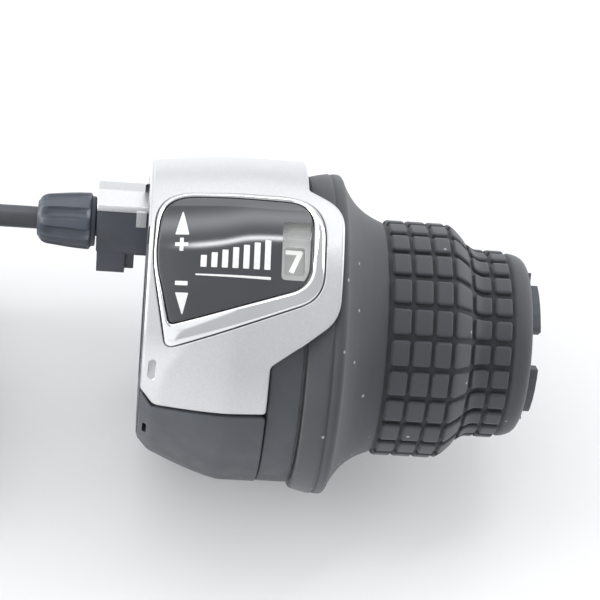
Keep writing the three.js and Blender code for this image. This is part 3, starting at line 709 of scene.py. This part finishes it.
def round_hole(x, angle, radius, count=28):
    """A hole seen along the radius, as a loop of (x, s)."""
    across = radius * NOMINAL_R / skin(x, angle)
    turns = [2 * math.pi * k / count for k in range(count)]
    return np.array([(x + radius * math.cos(t), angle * MM_PER_DEGREE + across * math.sin(t))
                     for t in turns])


def long_hole(x, start, end, radius, count=12):
    """A slot that runs round the barrel, as a loop of (x, s)."""
    points = []
    for turn, angle in ((0, end), (math.pi, start)):
        for k in range(count + 1):
            t = turn + math.pi * k / count
            points.append((x + radius * math.cos(t), angle * MM_PER_DEGREE + radius * math.sin(t)))
    return np.array(points)


def slot_well(name, slot, depth, material):
    """The inside of a slot that runs round the barrel."""
    x, start, end, radius = slot
    outline = [(px, s / MM_PER_DEGREE) for px, s in long_hole(x, start, end, radius + 0.04)]
    floor = skin(x, (start + end) / 2) - depth
    deep = [point(px, angle, floor) for px, angle in outline]
    rim = [point(px, angle, skin(px, angle) - 0.6) for px, angle in outline]
    count = len(outline)
    faces = [tuple(range(count))] + grid_faces(2, count, wrap=False, closed=True)
    well = add_object(name, deep + rim, faces, material)
    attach(well, "housing")
    return well


SCREW_HOLE_R, SINK_R, SINK_DEPTH, SINK_WALL, SINK_FACETS = 2.3, 2.35, 1.6, 1.5, 28


def screw_sink(name, x, angle, material):
    """The seat of a cover screw and the wall round it, turned about the radius at (x, angle)."""
    turn = math.radians(angle)
    out = Vector((0, -math.sin(turn), math.cos(turn)))
    side = Vector((1, 0, 0))
    cross = out.cross(side)
    floor = skin(x, angle) - SINK_DEPTH
    profile = [(0.0, floor), (SINK_R, floor), (SINK_R, floor + SINK_WALL)]
    vertices = []
    for k in range(SINK_FACETS):
        t = 2 * math.pi * k / SINK_FACETS
        for r, h in profile:
            place = Vector((x, 0, 0)) + out * h + (side * math.cos(t) + cross * math.sin(t)) * r
            vertices.append(tuple(place * MM))
    sink = add_object(name, vertices, grid_faces(SINK_FACETS, len(profile)), material)
    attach(sink, "housing")
    return sink


SLAB_ROLL = (0, 15, 35, 60, 90)  # degrees round a slab's rolled edge
OPEN_RIM = 0.35                  # the width of the rim that an open slab keeps


def slab(name, corners, x0, x1, material, roll=0.4, corner=0.4, open_start=False):
    """A prism along X from a section of (y, z) corners, with rounded corners and rolled ends."""
    dense = []
    for _, here, before, after in sides([Vector(c) for c in corners]):
        dense += bend(here, before, after, min(corner, 0.45 * before.length, 0.45 * after.length), 8)
    loop = np.array(dense)

    def ring(x, inwards, degrees):
        t = math.radians(degrees)
        return x + inwards * roll * (1 - math.sin(t)), inset(loop, roll * (1 - math.cos(t)))

    rings = [ring(x0, 1, t) for t in reversed(SLAB_ROLL)] + [ring(x1, -1, t) for t in SLAB_ROLL]
    count = len(loop)
    vertices = [(x * MM, y * MM, z * MM) for x, outline in rings for y, z in outline]
    faces = grid_faces(len(rings), count, wrap=False, closed=True)
    if open_start:
        x, outline = rings[0]
        base = len(vertices)
        vertices += [(x * MM, y * MM, z * MM) for y, z in inset(outline, OPEN_RIM)]
        faces += [(base + i, base + (i + 1) % count, (i + 1) % count, i) for i in range(count)]
    else:
        faces.append(tuple(range(count)))
    faces.append(tuple(range((len(rings) - 1) * count, len(rings) * count)))
    obj = add_object(name, vertices, faces, material)
    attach(obj, "housing")
    return obj


# ------------------------------------------------------------------ silver top cover

# angle and x along the crease that leaves the display and curves down to the seam
CREASE = [(30.0, 16.0), (37.5, 10.6), (42.1, 7.3), (50.6, 4.4), (57.9, 3.4), (68.0, 3.2)]
CREASE_DROP, CREASE_START, CREASE_FADE = 1.25, 36, 9


def cover_lift(x, s):
    """The cover's left end slopes down from the crease."""
    a = s / MM_PER_DEGREE
    edge = float(np.interp(a, [p[0] for p in CREASE], [p[1] for p in CREASE]))
    fade = smooth((a - CREASE_START) / CREASE_FADE)
    return -CREASE_DROP * fade * clamp01(1 - x / edge)


def swept(section, start, end, steps, radius):
    """Vertices of an (x, r) section turned from one angle to another, a row for each angle."""
    vertices = []
    for k in range(steps + 1):
        angle = start + (end - start) * k / steps
        vertices += [point(x, angle, radius(angle, r)) for x, r in section]
    return vertices


def make_end_wall():
    """The cover turns in over the inboard end beside the cable entry."""
    section = [(0.2, 0.12), (-0.04, 0.2), (-0.14, 0.4), (-0.14, 5.5), (0.0, 5.7)]
    steps = 48
    vertices = swept(section, -70.0, 2.0, steps, lambda angle, drop: skin(0.1, angle) - drop)
    faces = grid_faces(steps + 1, len(section), wrap=False)
    wall = add_object("silver_end_wall", vertices, faces, SILVER)
    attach(wall, "housing")


TOP_SCREW = (17, -70)            # x and angle


def make_silver_cover():
    """The shell with its display opening, the hood over the cable entry, and what it turns in to."""
    bezel_hole = inset(rounded(BEZEL_CORNERS, 0.45), -0.15)
    holes = [bezel_hole, round_hole(*TOP_SCREW, SCREW_HOLE_R), long_hole(*DIMPLE)]
    cover = patch("silver_cover_skin", rounded(COVER_CORNERS, 0.45), SILVER, cover_lift, holes,
                  roll=0.5, hole_roll=0.22, grid=0.75)
    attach(cover, "housing")
    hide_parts("silver_cover")
    hood = slab("silver_hood", [
        (21.8, 5.25), (21.8, 6.0), (22.5, 6.4), (26.4, 6.4), (29.4, 5.2), (31.4, 2.8), (32.2, -0.8),
        (31.9, -0.8), (31.0, 2.5), (29.4, 4.5), (27, 5.25),
    ], BLOCK_START - 0.02, 0.55, SILVER, roll=0.12, corner=0.3)
    make_end_wall()
    lip = slab("silver_lip", [(21.45, 1.3), (21.9, 1.3), (21.9, 6.1), (21.45, 6.1)], -2.3, -0.3,
               SILVER, roll=0.12, corner=0.15)
    arch = rounded(box(-0.9, 1.4, -79.2, -70.2, 0.3), 0.3)
    bridge = patch("silver_bridge", arch, SILVER, flat_lift(-0.05), roll=0.2, depth=1.6, grid=0.5)
    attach(bridge, "housing")
    screw_sink("top_screw_sink", *TOP_SCREW, SILVER)
    slot_well("cover_dimple", DIMPLE, 0.9, SILVER)


make_silver_cover()

# ------------------------------------------------------------------ chrome bezel


def cast(loop, centre, turns):
    """Where rays from the centre meet a loop, one for each angle."""
    hits = []
    sides_of_loop = np.roll(loop, -1, axis=0) - loop
    starts = loop - centre
    for turn in turns:
        ray = np.array([math.cos(turn), math.sin(turn)])
        cross = ray[0] * sides_of_loop[:, 1] - ray[1] * sides_of_loop[:, 0]
        cross = np.where(np.abs(cross) < 1e-12, 1e-12, cross)
        far = (starts[:, 0] * sides_of_loop[:, 1] - starts[:, 1] * sides_of_loop[:, 0]) / cross
        share = (starts[:, 0] * ray[1] - starts[:, 1] * ray[0]) / cross
        good = (far > 0) & (share >= 0) & (share <= 1)
        hits.append(centre + ray * float(np.max(far[good])))
    return np.array(hits)


# the frame's section from the lens outwards: share of its width, height over the skin
BEZEL_SECTION = [
    (0.0, -1.2), (0.0, 0.05), (0.04, 0.26), (0.12, 0.42), (0.24, 0.52), (0.38, 0.55),
    (0.55, 0.48), (0.72, 0.34), (0.86, 0.16), (0.95, -0.04), (1.0, -0.3), (1.0, -1.6),
]
BEZEL_STEPS, BEZEL_RAYS = 420, 2400


def make_bezel():
    """A convex chrome frame, wide below and on the right, that stands a little proud of the lens."""
    centre = np.array([15.0, 11.0 * MM_PER_DEGREE])
    outer = rounded(BEZEL_CORNERS, 0.2)
    inner = rounded(LENS_CORNERS, 0.2)
    every = [2 * math.pi * k / BEZEL_RAYS for k in range(BEZEL_RAYS + 1)]
    spread = cast(outer, centre, every[:-1])
    steps = np.linalg.norm(np.diff(np.vstack([spread, spread[:1]]), axis=0), axis=1)
    lengths = np.concatenate([[0], np.cumsum(steps)])
    at = np.linspace(0, lengths[-1], BEZEL_STEPS, endpoint=False)
    turns = np.interp(at, lengths, every)
    out = cast(outer, centre, turns)
    into = cast(inner, centre, turns)
    vertices = []
    for near, far in zip(into, out):
        width = float(np.linalg.norm(far - near))
        for share, height in BEZEL_SECTION:
            x, s = near + (far - near) * share
            rise = height * min(1.0, 0.45 + width / 3.2) if height > 0 else height
            angle = s / MM_PER_DEGREE
            vertices.append(point(x, angle, max(skin(x, angle) + rise, lowest(x))))
    faces = grid_faces(BEZEL_STEPS, len(BEZEL_SECTION))
    bezel = add_object("display_frame", vertices, faces, CHROME, sharp=50)
    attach(bezel, "housing")
    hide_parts("display_bezel")


make_bezel()

# ------------------------------------------------------------------ lens, marks and gear numbers

LENS_LIFT = 0.2
WINDOW = box(23.4, 28.75, -0.5, 18.6, 0.8)


def lens_lift(x, s):
    """The lens runs smoothly over the line where the housing begins to be drawn in."""
    left = 1 - x / TAPER_LENGTH
    eased = (left + math.sqrt(left * left + 0.03)) / 2
    return LENS_LIFT - TAPER_TOP * (eased ** 1.3 - max(0.0, left) ** 1.3)


def make_lens():
    outline = inset(rounded(LENS_CORNERS, 0.35), 0.12)
    lens = patch("display_window", outline, [LENS_BLACK, LENS_CLEAR], lens_lift,
                 roll=0.3, depth=1.0, grid=0.7, regions=[rounded(WINDOW, 0.3)])
    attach(lens, "housing")
    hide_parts("display_lens")


MARK_LIFT = 0.03


def mark(name, corners):
    """A thin white mark on the lens from [x, angle, corner radius] corners."""
    piece = patch(name, rounded(corners, 0.12), PRINT, lambda x, s: lens_lift(x, s) + MARK_LIFT,
                  roll=0.03, depth=0.06, grid=0.5)
    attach(piece, "housing")


def make_marks():
    """Arrows, plus and minus for the two ways to turn, and bars that rise from first gear to last."""
    mark("mark_up", [[5.75, -3.6, 0.15], [7.0, 5.3, 0.1], [4.55, 5.3, 0.1]])
    mark("mark_down", [[5.05, 24.2, 0.1], [7.35, 24.2, 0.1], [6.5, 31.6, 0.15]])
    half, thin = 1.15, 0.33          # half the plus sign's size and half its stroke
    plus = [
        (-thin, -half), (thin, -half), (thin, -thin), (half, -thin), (half, thin), (thin, thin),
        (thin, half), (-thin, half), (-thin, thin), (-half, thin), (-half, -thin), (-thin, -thin),
    ]
    mark("mark_plus", [[5.75 + x, 8.6 + s / MM_PER_DEGREE, 0.05] for x, s in plus])
    mark("mark_minus", box(4.95, 7.15, 20.5, 21.9, 0.08))
    for index in range(GEARS):
        x = 9.2 + index * 1.86
        tall = (2.0 + index * 0.5) / MM_PER_DEGREE
        mark(f"gear_step_{index + 1}", box(x, x + 1.05, 15.8 - tall, 15.8, 0.08))
    mark("gear_sweep", [[8.4, 18.0, 0.05], [21.6, 18.0, 0.05], [21.6, 18.9, 0.05], [8.4, 18.5, 0.05]])


# each digit as a line through (across, up) points, as shares of its width and height
DIGITS = {
    1: [(0.25, 0.78), (0.55, 1.0), (0.55, 0.0)],
    2: [(0.1, 0.8), (0.3, 0.98), (0.65, 1.0), (0.88, 0.82), (0.82, 0.6), (0.1, 0.0), (0.92, 0.0)],
    3: [(0.1, 1.0), (0.88, 1.0), (0.48, 0.6), (0.85, 0.45), (0.88, 0.2), (0.6, 0.0), (0.25, 0.02),
        (0.08, 0.18)],
    4: [(0.72, 0.0), (0.72, 1.0), (0.05, 0.3), (0.98, 0.3)],
    5: [(0.88, 1.0), (0.2, 1.0), (0.14, 0.56), (0.55, 0.62), (0.88, 0.4), (0.8, 0.1), (0.48, 0.0),
        (0.1, 0.08)],
    6: [(0.78, 1.0), (0.36, 0.78), (0.1, 0.34), (0.24, 0.04), (0.6, 0.0), (0.88, 0.22), (0.78, 0.5),
        (0.42, 0.56), (0.14, 0.38)],
    7: [(0.05, 1.0), (0.95, 1.0), (0.38, 0.0)],
}
DIGIT_WIDE, DIGIT_HIGH, DIGIT_STROKE = 2.7, 3.9, 0.42
DIGIT_X, DIGIT_ANGLE = 24.7, 6.4
NUMBER_R = 26.43
STROKE_PIECES = 4                # lengths in a stroke, so that it follows the ring
STROKE_STEP = 0.004              # each stroke lies this much over the one before


def make_numbers():
    """The gear numbers round the grip's ring: the last one stands under the window at rest."""
    for gear, line in DIGITS.items():
        middle = DIGIT_ANGLE - (GEARS - gear) * CLICK
        pts = [Vector((DIGIT_X + px * DIGIT_WIDE, (0.5 - py) * DIGIT_HIGH)) for px, py in line]
        vertices, faces = [], []
        for stroke, (a, b) in enumerate(zip(pts, pts[1:])):
            along = (b - a).normalized()
            side = Vector((-along[1], along[0])) * DIGIT_STROKE
            a, b = a - along * DIGIT_STROKE * 0.6, b + along * DIGIT_STROKE * 0.6
            base = len(vertices)
            for k in range(STROKE_PIECES + 1):
                here = a.lerp(b, k / STROKE_PIECES)
                for x, s in (here + side, here - side):
                    angle = middle + math.degrees(s / NUMBER_R)
                    vertices.append(point(x, angle, NUMBER_R + STROKE_STEP * stroke))
            for i in range(base, base + 2 * STROKE_PIECES, 2):
                faces.append((i, i + 1, i + 3, i + 2))
        piece = add_object(f"gear_number_{gear}", vertices, faces, NUMBER_PRINT)
        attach(piece, "grip")


MASK_R = 29.05


def make_mask():
    """A grey mask under the lens, with the opening that shows one gear number."""
    outline = rounded(box(23.0, 28.9, -10.0, 26.0, 0.3), 0.4)
    hole = rounded(box(24.1, 27.75, 3.6, 14.6, 0.5), 0.3)
    mask = patch("window_mask", outline, MASK_GREY, flat_lift(0.0), [hole], roll=0.1,
                 depth=0.3, grid=0.8, surface=lambda x, a: MASK_R)
    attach(mask, "housing")


make_lens()
make_marks()
make_mask()
make_numbers()

# ------------------------------------------------------------------ lower cover

CLAMP_X, CLAMP_Z = 7.4, -16.6
BOLT_ANGLE, BOLT_HOLE_R, BOLT_HEAD_Y = 233.0, 4.0, 8.4
LOWER_SCREWS = [(17, 152), (17, 222)]   # x and angle
SLOT = (1.35, 82.5, 89.0, 0.36)  # x, the first and last angle, half the width
BEVEL_DROP, BEVEL_X, BEVEL_WIDTH = 1.3, 2.25, 2.1


def lower_lift(x, s):
    """A bevel along the inboard edge."""
    return -BEVEL_DROP * clamp01((BEVEL_X - x) / BEVEL_WIDTH)


def bolt_hole(radius, count=44):
    """Where the bolt's round passage, along Y, comes out through the cover, as a loop of (x, s)."""
    loop = []
    for k in range(count):
        turn = 2 * math.pi * k / count
        x, z = CLAMP_X + radius * math.cos(turn), CLAMP_Z + radius * math.sin(turn)
        angle = BOLT_ANGLE
        for _ in range(6):          # the skin's radius depends on the angle, so it is closed in on
            angle = 360 - math.degrees(math.acos(z / skin(x, angle)))
        loop.append((x, angle * MM_PER_DEGREE))
    return np.array(loop)


def make_bolt_well():
    """The wall of the bolt's passage, from the cover in to the clamp."""
    angles = [(x, s / MM_PER_DEGREE) for x, s in bolt_hole(BOLT_HOLE_R + 0.05)]
    rim = [point(x, angle, skin(x, angle) - 0.4) for x, angle in angles]
    deep = [(x, BOLT_HEAD_Y * MM, z) for x, _, z in rim]
    faces = grid_faces(2, len(rim), wrap=False, closed=True)
    well = add_object("clamp_bolt_well", rim + deep, faces, BLACK)
    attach(well, "housing")


def make_lower_cover():
    """The shell under the barrel, with its foot, its screws' seats and its slot."""
    holes = [round_hole(x, a, SCREW_HOLE_R) for x, a in LOWER_SCREWS]
    holes += [bolt_hole(BOLT_HOLE_R), long_hole(*SLOT)]
    cover = patch("lower_cover_skin", rounded(LOWER_CORNERS), BLACK, lower_lift, holes, roll=0.35,
                  hole_roll=0.12, grid=0.75)
    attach(cover, "housing")
    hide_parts("lower_cover")
    foot = [(-11, -22), (-9.2, -26.6), (-7, -29.4), (-5, FLOOR)]
    foot += [(-y, z) for y, z in reversed(foot)]
    slab("lower_foot", foot, 3.2, 12, BLACK, roll=0.6, corner=1.2)
    for index, (x, a) in enumerate(LOWER_SCREWS):
        screw_sink(f"screw_sink_{index + 1}", x, a, BLACK)
    slot_well("lower_slot_well", SLOT, 3.2, BLACK)


make_lower_cover()
make_bolt_well()

# ------------------------------------------------------------------ front ring and entry block


def make_front_ring():
    """The housing's round front edge, left open under the display."""
    profile = [(22.7, 27.2), (22.7, 28.2)] + arc(23.2, 28.0, 0.45, 180, 90, 4)
    profile += arc(28.3, 27.95, 0.5, 90, 0, 6) + [(28.8, 26.9)]
    steps = 164
    vertices = swept(profile, 27.0, 355.0, steps, lambda angle, r: r + 0.02)
    faces = grid_faces(steps + 1, len(profile), wrap=False)
    ring = add_object("front_ring", vertices, faces, BLACK)
    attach(ring, "housing")


def make_entry_block():
    """The block that the adjuster screws into, its leg, and the rib and ledge behind them."""
    low, leg = BLOCK_LOW - 0.04, LEG_LOW - 0.04

    def bar(name, y0, y1, z0, z1, x0, x1, material, roll, corner):
        slab(name, [(y0, z0), (y1, z0), (y1, z1), (y0, z1)], x0, x1, material, roll, corner)

    block = [(21.96, low), (31.54, low), (31.54, -1.34), (30.54, 2.24), (29.04, 4.04), (26.5, 5.22),
             (21.96, 5.1)]
    slab("entry_block", block, BLOCK_START - 0.03, 0.9, BLACK_SMOOTH, 0.35, 0.45, open_start=True)
    bar("entry_leg", 21.96, 25.64, leg, low + 0.5, BLOCK_START + 0.17, -4.07, BLACK_SMOOTH, 0.35, 0.45)
    bar("entry_rib", 22.8, 25.2, leg + 0.4, low + 0.5, -4.6, -2.3, BLACK, 0.25, 0.3)
    bar("entry_ledge", 22.6, 27.0, low - 1.5, low + 0.5, -4.6, 0.2, BLACK, 0.25, 0.3)


make_front_ring()
make_entry_block()

# ------------------------------------------------------------------ rubber grip

PAD_EDGES = [44.5, 48.5, 52.45, 56.1, 60.1, 64.1, 67.9]
PAD_HEIGHT, GROOVE = 0.9, 0.42
PAD_ROWS, ROW_GAP = 24, 0.62
PAD_TURN = 4.0                   # a groove between two rows stands at this angle
PAD_CORNER = 0.38
# the pad's rounded edge starts this far outside its outline, ends this far inside, and is this wide
PAD_OUT, PAD_IN, PAD_EDGE = 0.1, 0.24, 0.34
PADS_R, PADS_END_R = 22.4, 17.9
CORE_R = 13.6


def pad_radius(x):
    """Radius at the pads' tops: a wide part, a slope and a narrow part."""
    return PADS_R + (PADS_END_R - PADS_R) * smooth((x - 56) / 6.5)


def pad_height(x, angle):
    """0 in a groove and 1 on a pad, with rounded edges and corners."""
    index = int(np.searchsorted(PAD_EDGES, x)) - 1
    if index < 0 or index >= len(PAD_EDGES) - 1:
        return 0.0
    start, end = PAD_EDGES[index], PAD_EDGES[index + 1]
    pitch = 360 / PAD_ROWS
    across = ((angle - PAD_TURN) % pitch - pitch / 2) * math.radians(1) * pad_radius(x)
    half_x = (end - start) / 2 - GROOVE
    half_y = math.radians(pitch / 2) * pad_radius(x) - ROW_GAP
    dx = abs(x - (start + end) / 2) - half_x + PAD_CORNER
    dy = abs(across) - half_y + PAD_CORNER
    gap = math.hypot(max(dx, 0), max(dy, 0)) + min(max(dx, dy), 0) - PAD_CORNER
    if gap >= PAD_OUT:
        return 0.0
    if gap <= -PAD_IN:
        return 1.0
    t = (PAD_OUT - gap) / PAD_EDGE
    return math.sqrt(1 - (1 - t) ** 2.2)


def rubber_profile():
    """Outer radius of the sleeve at each place along it, pads left out."""
    profile = [(29.3, 26.8), (29.3, 29.1)] + arc(29.75, 29.15, 0.45, 180, 105, 4)
    profile += [(30.6, 29.85), (31.6, 30.1), (32.6, 30.28), (33.1, 30.36), (33.35, 30.3), (33.5, 30.1),
                (33.65, 30.12), (33.9, 30.32), (34.4, 30.4), (35.0, 30.38), (35.4, 30.2), (35.7, 29.8)]
    curve = [(35.8, 29.5), (36.5, 28.1), (37.4, 26.7), (38.5, 25.3), (39.6, 24.3), (40.8, 23.4),
             (42.0, 22.75), (43.0, 22.3), (43.9, 21.95)]
    xs, rs = zip(*curve)
    return profile + [(x, float(np.interp(x, xs, rs))) for x in np.linspace(35.8, 43.9, 18)]


def pad_stops():
    """Places along the sleeve where its pads are cut, close together at their edges."""
    stops = []
    for one, two in zip(PAD_EDGES, PAD_EDGES[1:]):
        stops += [one + step for step in (-0.28, 0, 0.28, 0.36, 0.46, 0.58, 0.74)]
        stops += list(np.linspace(one + 0.95, two - 0.95, 5))
        stops += [two - step for step in (0.74, 0.58, 0.46, 0.36)]
    stops += [PAD_EDGES[-1] - 0.28, PAD_EDGES[-1]]
    return sorted(set(round(stop, 4) for stop in stops))


def pad_turns():
    """Angles round the sleeve where its pads are cut, close together at their edges."""
    half = 180 / PAD_ROWS
    shares = (0.0, 0.1, 0.135, 0.165, 0.2, 0.25, 0.34, 0.5, 0.75)
    turns = []
    for row in range(PAD_ROWS):
        middle = (2 * row + 1) * half + PAD_TURN
        turns += [middle - half * (1 - share) for share in shares] + [middle]
        turns += [middle + half * (1 - share) for share in shares[1:]]
    return sorted(turns)


def make_rubber():
    """The sleeve: rim, cone, pads and end. The grooves between the pads take a darker rubber, painted
    shade in the recesses.
    """
    profile = [(x, r, False) for x, r in [(31.4, CORE_R + 0.3), (31.4, 26.8)] + rubber_profile()]
    profile += [(x, 0.0, True) for x in pad_stops() if x > PAD_EDGES[0] - 0.35]
    end = [(68.15, 17.05), (68.35, 17.35), (68.7, 17.5), (69.4, 17.42), (70.2, 17.2), (70.9, 16.85),
           (71.4, 16.4), (71.7, 15.9), (71.8, 15.3), (71.8, CORE_R + 0.3)]
    profile += [(x, r, False) for x, r in end]
    turns = pad_turns()
    vertices, heights = [], []
    for angle in turns:
        for x, r, pads in profile:
            height = pad_height(x, angle) if pads else 1.0
            if pads:
                r = pad_radius(x) - PAD_HEIGHT * (1 - height)
            vertices.append(point(x, angle, r))
            heights.append(height)
    faces = grid_faces(len(turns), len(profile))
    # faces low in a groove take the darker rubber: painted shade
    slots = [int(min(heights[corner] for corner in face) < 0.3) for face in faces]
    sleeve = add_object("grip_rubber_sleeve", vertices, faces, [RUBBER, RUBBER_GROOVE_SHADE], slots, sharp=60)
    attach(sleeve, "grip")
    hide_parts("rubber_sleeve")


make_rubber()

# ------------------------------------------------------------------ adjuster knob

FLUTES, FLUTE_WIDTH, FLUTE_DEPTH = 8, 1.15, 1.0   # the width is half of a flute's
KNOB_START, COLLAR_X, KNOB_FACETS = -21.5, -11.2, 240


def fluted(x, r, turn):
    """The knob's radius, less the round flutes that fade out towards both ends."""
    if r < 3.9 or x > COLLAR_X:
        return r
    across = (turn * FLUTES / (2 * math.pi)) % 1.0 - 0.5
    reach = abs(across) * 2 * math.pi * r / FLUTES
    if reach >= FLUTE_WIDTH:
        return r
    depth = FLUTE_DEPTH * smooth((x - KNOB_START) / 2.4) * smooth((COLLAR_X - x) / 1.0)
    return r - depth * math.sqrt(max(0.0, 1 - (reach / FLUTE_WIDTH) ** 2))


def make_knob():
    """The adjuster's knob, turned about the cable's line from (x, radius) points."""
    profile = [(-20.1, 2.6), (KNOB_START, 2.6)] + arc(-21.3, 3.3, 0.3, 180, 100, 4)
    profile += [(-21.1, 4.1), (-20.7, 4.5), (-20.1, 4.8), (-19.5, 4.95), (-18.3, 5.08), (-16.8, 5.25),
                (-15.3, 5.4), (-13.8, 5.52), (-12.0, 5.6), (-11.45, 5.6), (-11.25, 5.5), (-11.1, 5.2),
                (-11.0, 5.0), (-10.9, 4.95), (-10.5, 4.95), (-10.25, 4.8), (-10.2, 4.5), (-10.2, 3.2),
                (-12.7, 3.2)]
    vertices = []
    for k in range(KNOB_FACETS):
        turn = 2 * math.pi * k / KNOB_FACETS
        for x, radius in profile:
            r = fluted(x, radius, turn)
            vertices.append((x * MM, (CABLE_Y + r * math.cos(turn)) * MM,
                             (CABLE_Z + r * math.sin(turn)) * MM))
    faces = grid_faces(KNOB_FACETS, len(profile), closed=True)
    knob = add_object("adjuster_grip", vertices, faces, BLACK_SMOOTH, sharp=40)
    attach(knob, "adjuster")
    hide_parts("adjuster_knob")


make_knob()

# ------------------------------------------------------------------ finishes on the CAD parts

FINISHES = {
    "main_housing": BLACK, "display_plate": PALE, "cable_guide": PALE, "inner_cable": WIRE,
    "detent_spring": STEEL, "thrust_washer": STEEL, "clamp_bolt": STEEL, "clamp_nut": STEEL,
    "cover_screw_front": STEEL, "cover_screw_rear": STEEL, "cover_screw_top": STEEL,
    "cable_drum": PALE, "cable_nipple": ALUMINIUM, "grip_core": BLACK, "gear_number_ring": RING_GREY,
    "casing_ferrule": STEEL, "coil_tie_near": TIE, "coil_tie_far": TIE, "casing_end_cap": ALUMINIUM,
    "wire_tail": WIRE, "wire_crimp": ALUMINIUM, "adjuster_barrel": BLACK_SMOOTH,
}


def finish_cad():
    """The CAD parts that no piece replaces take these materials."""
    for name, material in FINISHES.items():
        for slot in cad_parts[name].material_slots:
            slot.material = material


finish_cad()

# ------------------------------------------------------------------ table and light


TABLE_HALF, TABLE_UNDER = 3.0, 0.02   # half the floor's width in metres, mm under the lowest part


def make_table():
    table = bpy.data.meshes.new("table")
    half, low = TABLE_HALF, (FLOOR - TABLE_UNDER) * MM
    table.from_pydata([(-half, -half, low), (half, -half, low), (half, half, low), (-half, half, low)],
                      [], [(0, 1, 2, 3)])
    table.materials.append(table_top())
    obj = bpy.data.objects.new("table", table)
    bpy.context.collection.objects.link(obj)


def area_light(name, place, target, size, power):
    """A square softbox that faces a target. Places and size in metres, power in watts."""
    data = bpy.data.lights.new(name, "AREA")
    data.energy = power
    data.size = size
    light = bpy.data.objects.new(name, data)
    light.location = place
    light.rotation_euler = (Vector(target) - Vector(place)).to_track_quat("-Z", "Y").to_euler()
    bpy.context.collection.objects.link(light)


# the world's light by direction: angles in degrees from straight up towards the rider
SKY = 0.62
STREAK_ANGLE, STREAK_WIDTH, STREAK_POWER = -14.4, 1.9, 11.0
GLOW_ANGLE, GLOW_WIDTH, GLOW_POWER = -33.0, 8.0, 2.0
SIDE_POWER = 0.5
LEAN = 40.0                      # the lamps' lines lean: degrees for each unit of x


def make_world():
    """An even sky, a thin tube and a wide soft lamp in lines along X, and a lighter left side."""
    world = bpy.data.worlds.new("studio")
    bpy.context.scene.world = world
    world.use_nodes = True
    nodes, links = world.node_tree.nodes, world.node_tree.links

    def math_node(operation, *values):
        node = nodes.new("ShaderNodeMath")
        node.operation = operation
        for socket, value in zip(node.inputs, values):
            if isinstance(value, bpy.types.NodeSocket):
                links.new(value, socket)
            else:
                socket.default_value = value
        return node.outputs[0]

    def product(one, two):
        return math_node("MULTIPLY", one, two)

    def total(one, two):
        return math_node("ADD", one, two)

    def bell(value, centre, width):
        off = math_node("DIVIDE", math_node("SUBTRACT", value, centre), width)
        return math_node("EXPONENT", product(product(off, off), -1.0))

    def between(value, start, end):
        node = nodes.new("ShaderNodeMapRange")
        node.interpolation_type = "SMOOTHSTEP"
        links.new(value, node.inputs["Value"])
        node.inputs["From Min"].default_value = start
        node.inputs["From Max"].default_value = end
        return node.outputs["Result"]

    split = nodes.new("ShaderNodeSeparateXYZ")
    links.new(nodes.new("ShaderNodeTexCoord").outputs["Generated"], split.inputs[0])
    x, y, z = split.outputs
    left = product(x, -1.0)
    turn = math_node("ARCTAN2", product(y, -1.0), z)
    line = total(product(turn, math.degrees(1)), product(x, LEAN))
    tube = product(bell(line, STREAK_ANGLE, STREAK_WIDTH), STREAK_POWER)
    tube = product(tube, between(x, -0.19, -0.13))
    tube = product(tube, between(left, -0.3, -0.2))
    glow = product(bell(line, GLOW_ANGLE, GLOW_WIDTH), GLOW_POWER)
    side = product(between(left, 0.15, 0.24), SIDE_POWER)
    power = total(total(tube, glow), total(side, SKY))
    background = nodes["Background"]
    background.inputs["Color"].default_value = (0.96, 0.98, 1.0, 1.0)
    links.new(power, background.inputs["Strength"])


def make_light():
    """The world and three softboxes: behind, at the left and at the right."""
    make_world()
    area_light("softbox_back", (0.08, 0.62, 0.4), (0.03, 0.0, 0.0), 0.4, 0.45)
    area_light("softbox_left", (-0.55, 0.0, 0.14), (0.01, -0.02, 0.0), 0.3, 2.4)
    area_light("softbox_right", (0.6, 0.26, 0.24), (0.06, 0.0, 0.0), 0.35, 1.5)


make_table()
make_light()
bpy.context.scene.view_settings.view_transform = "Standard"
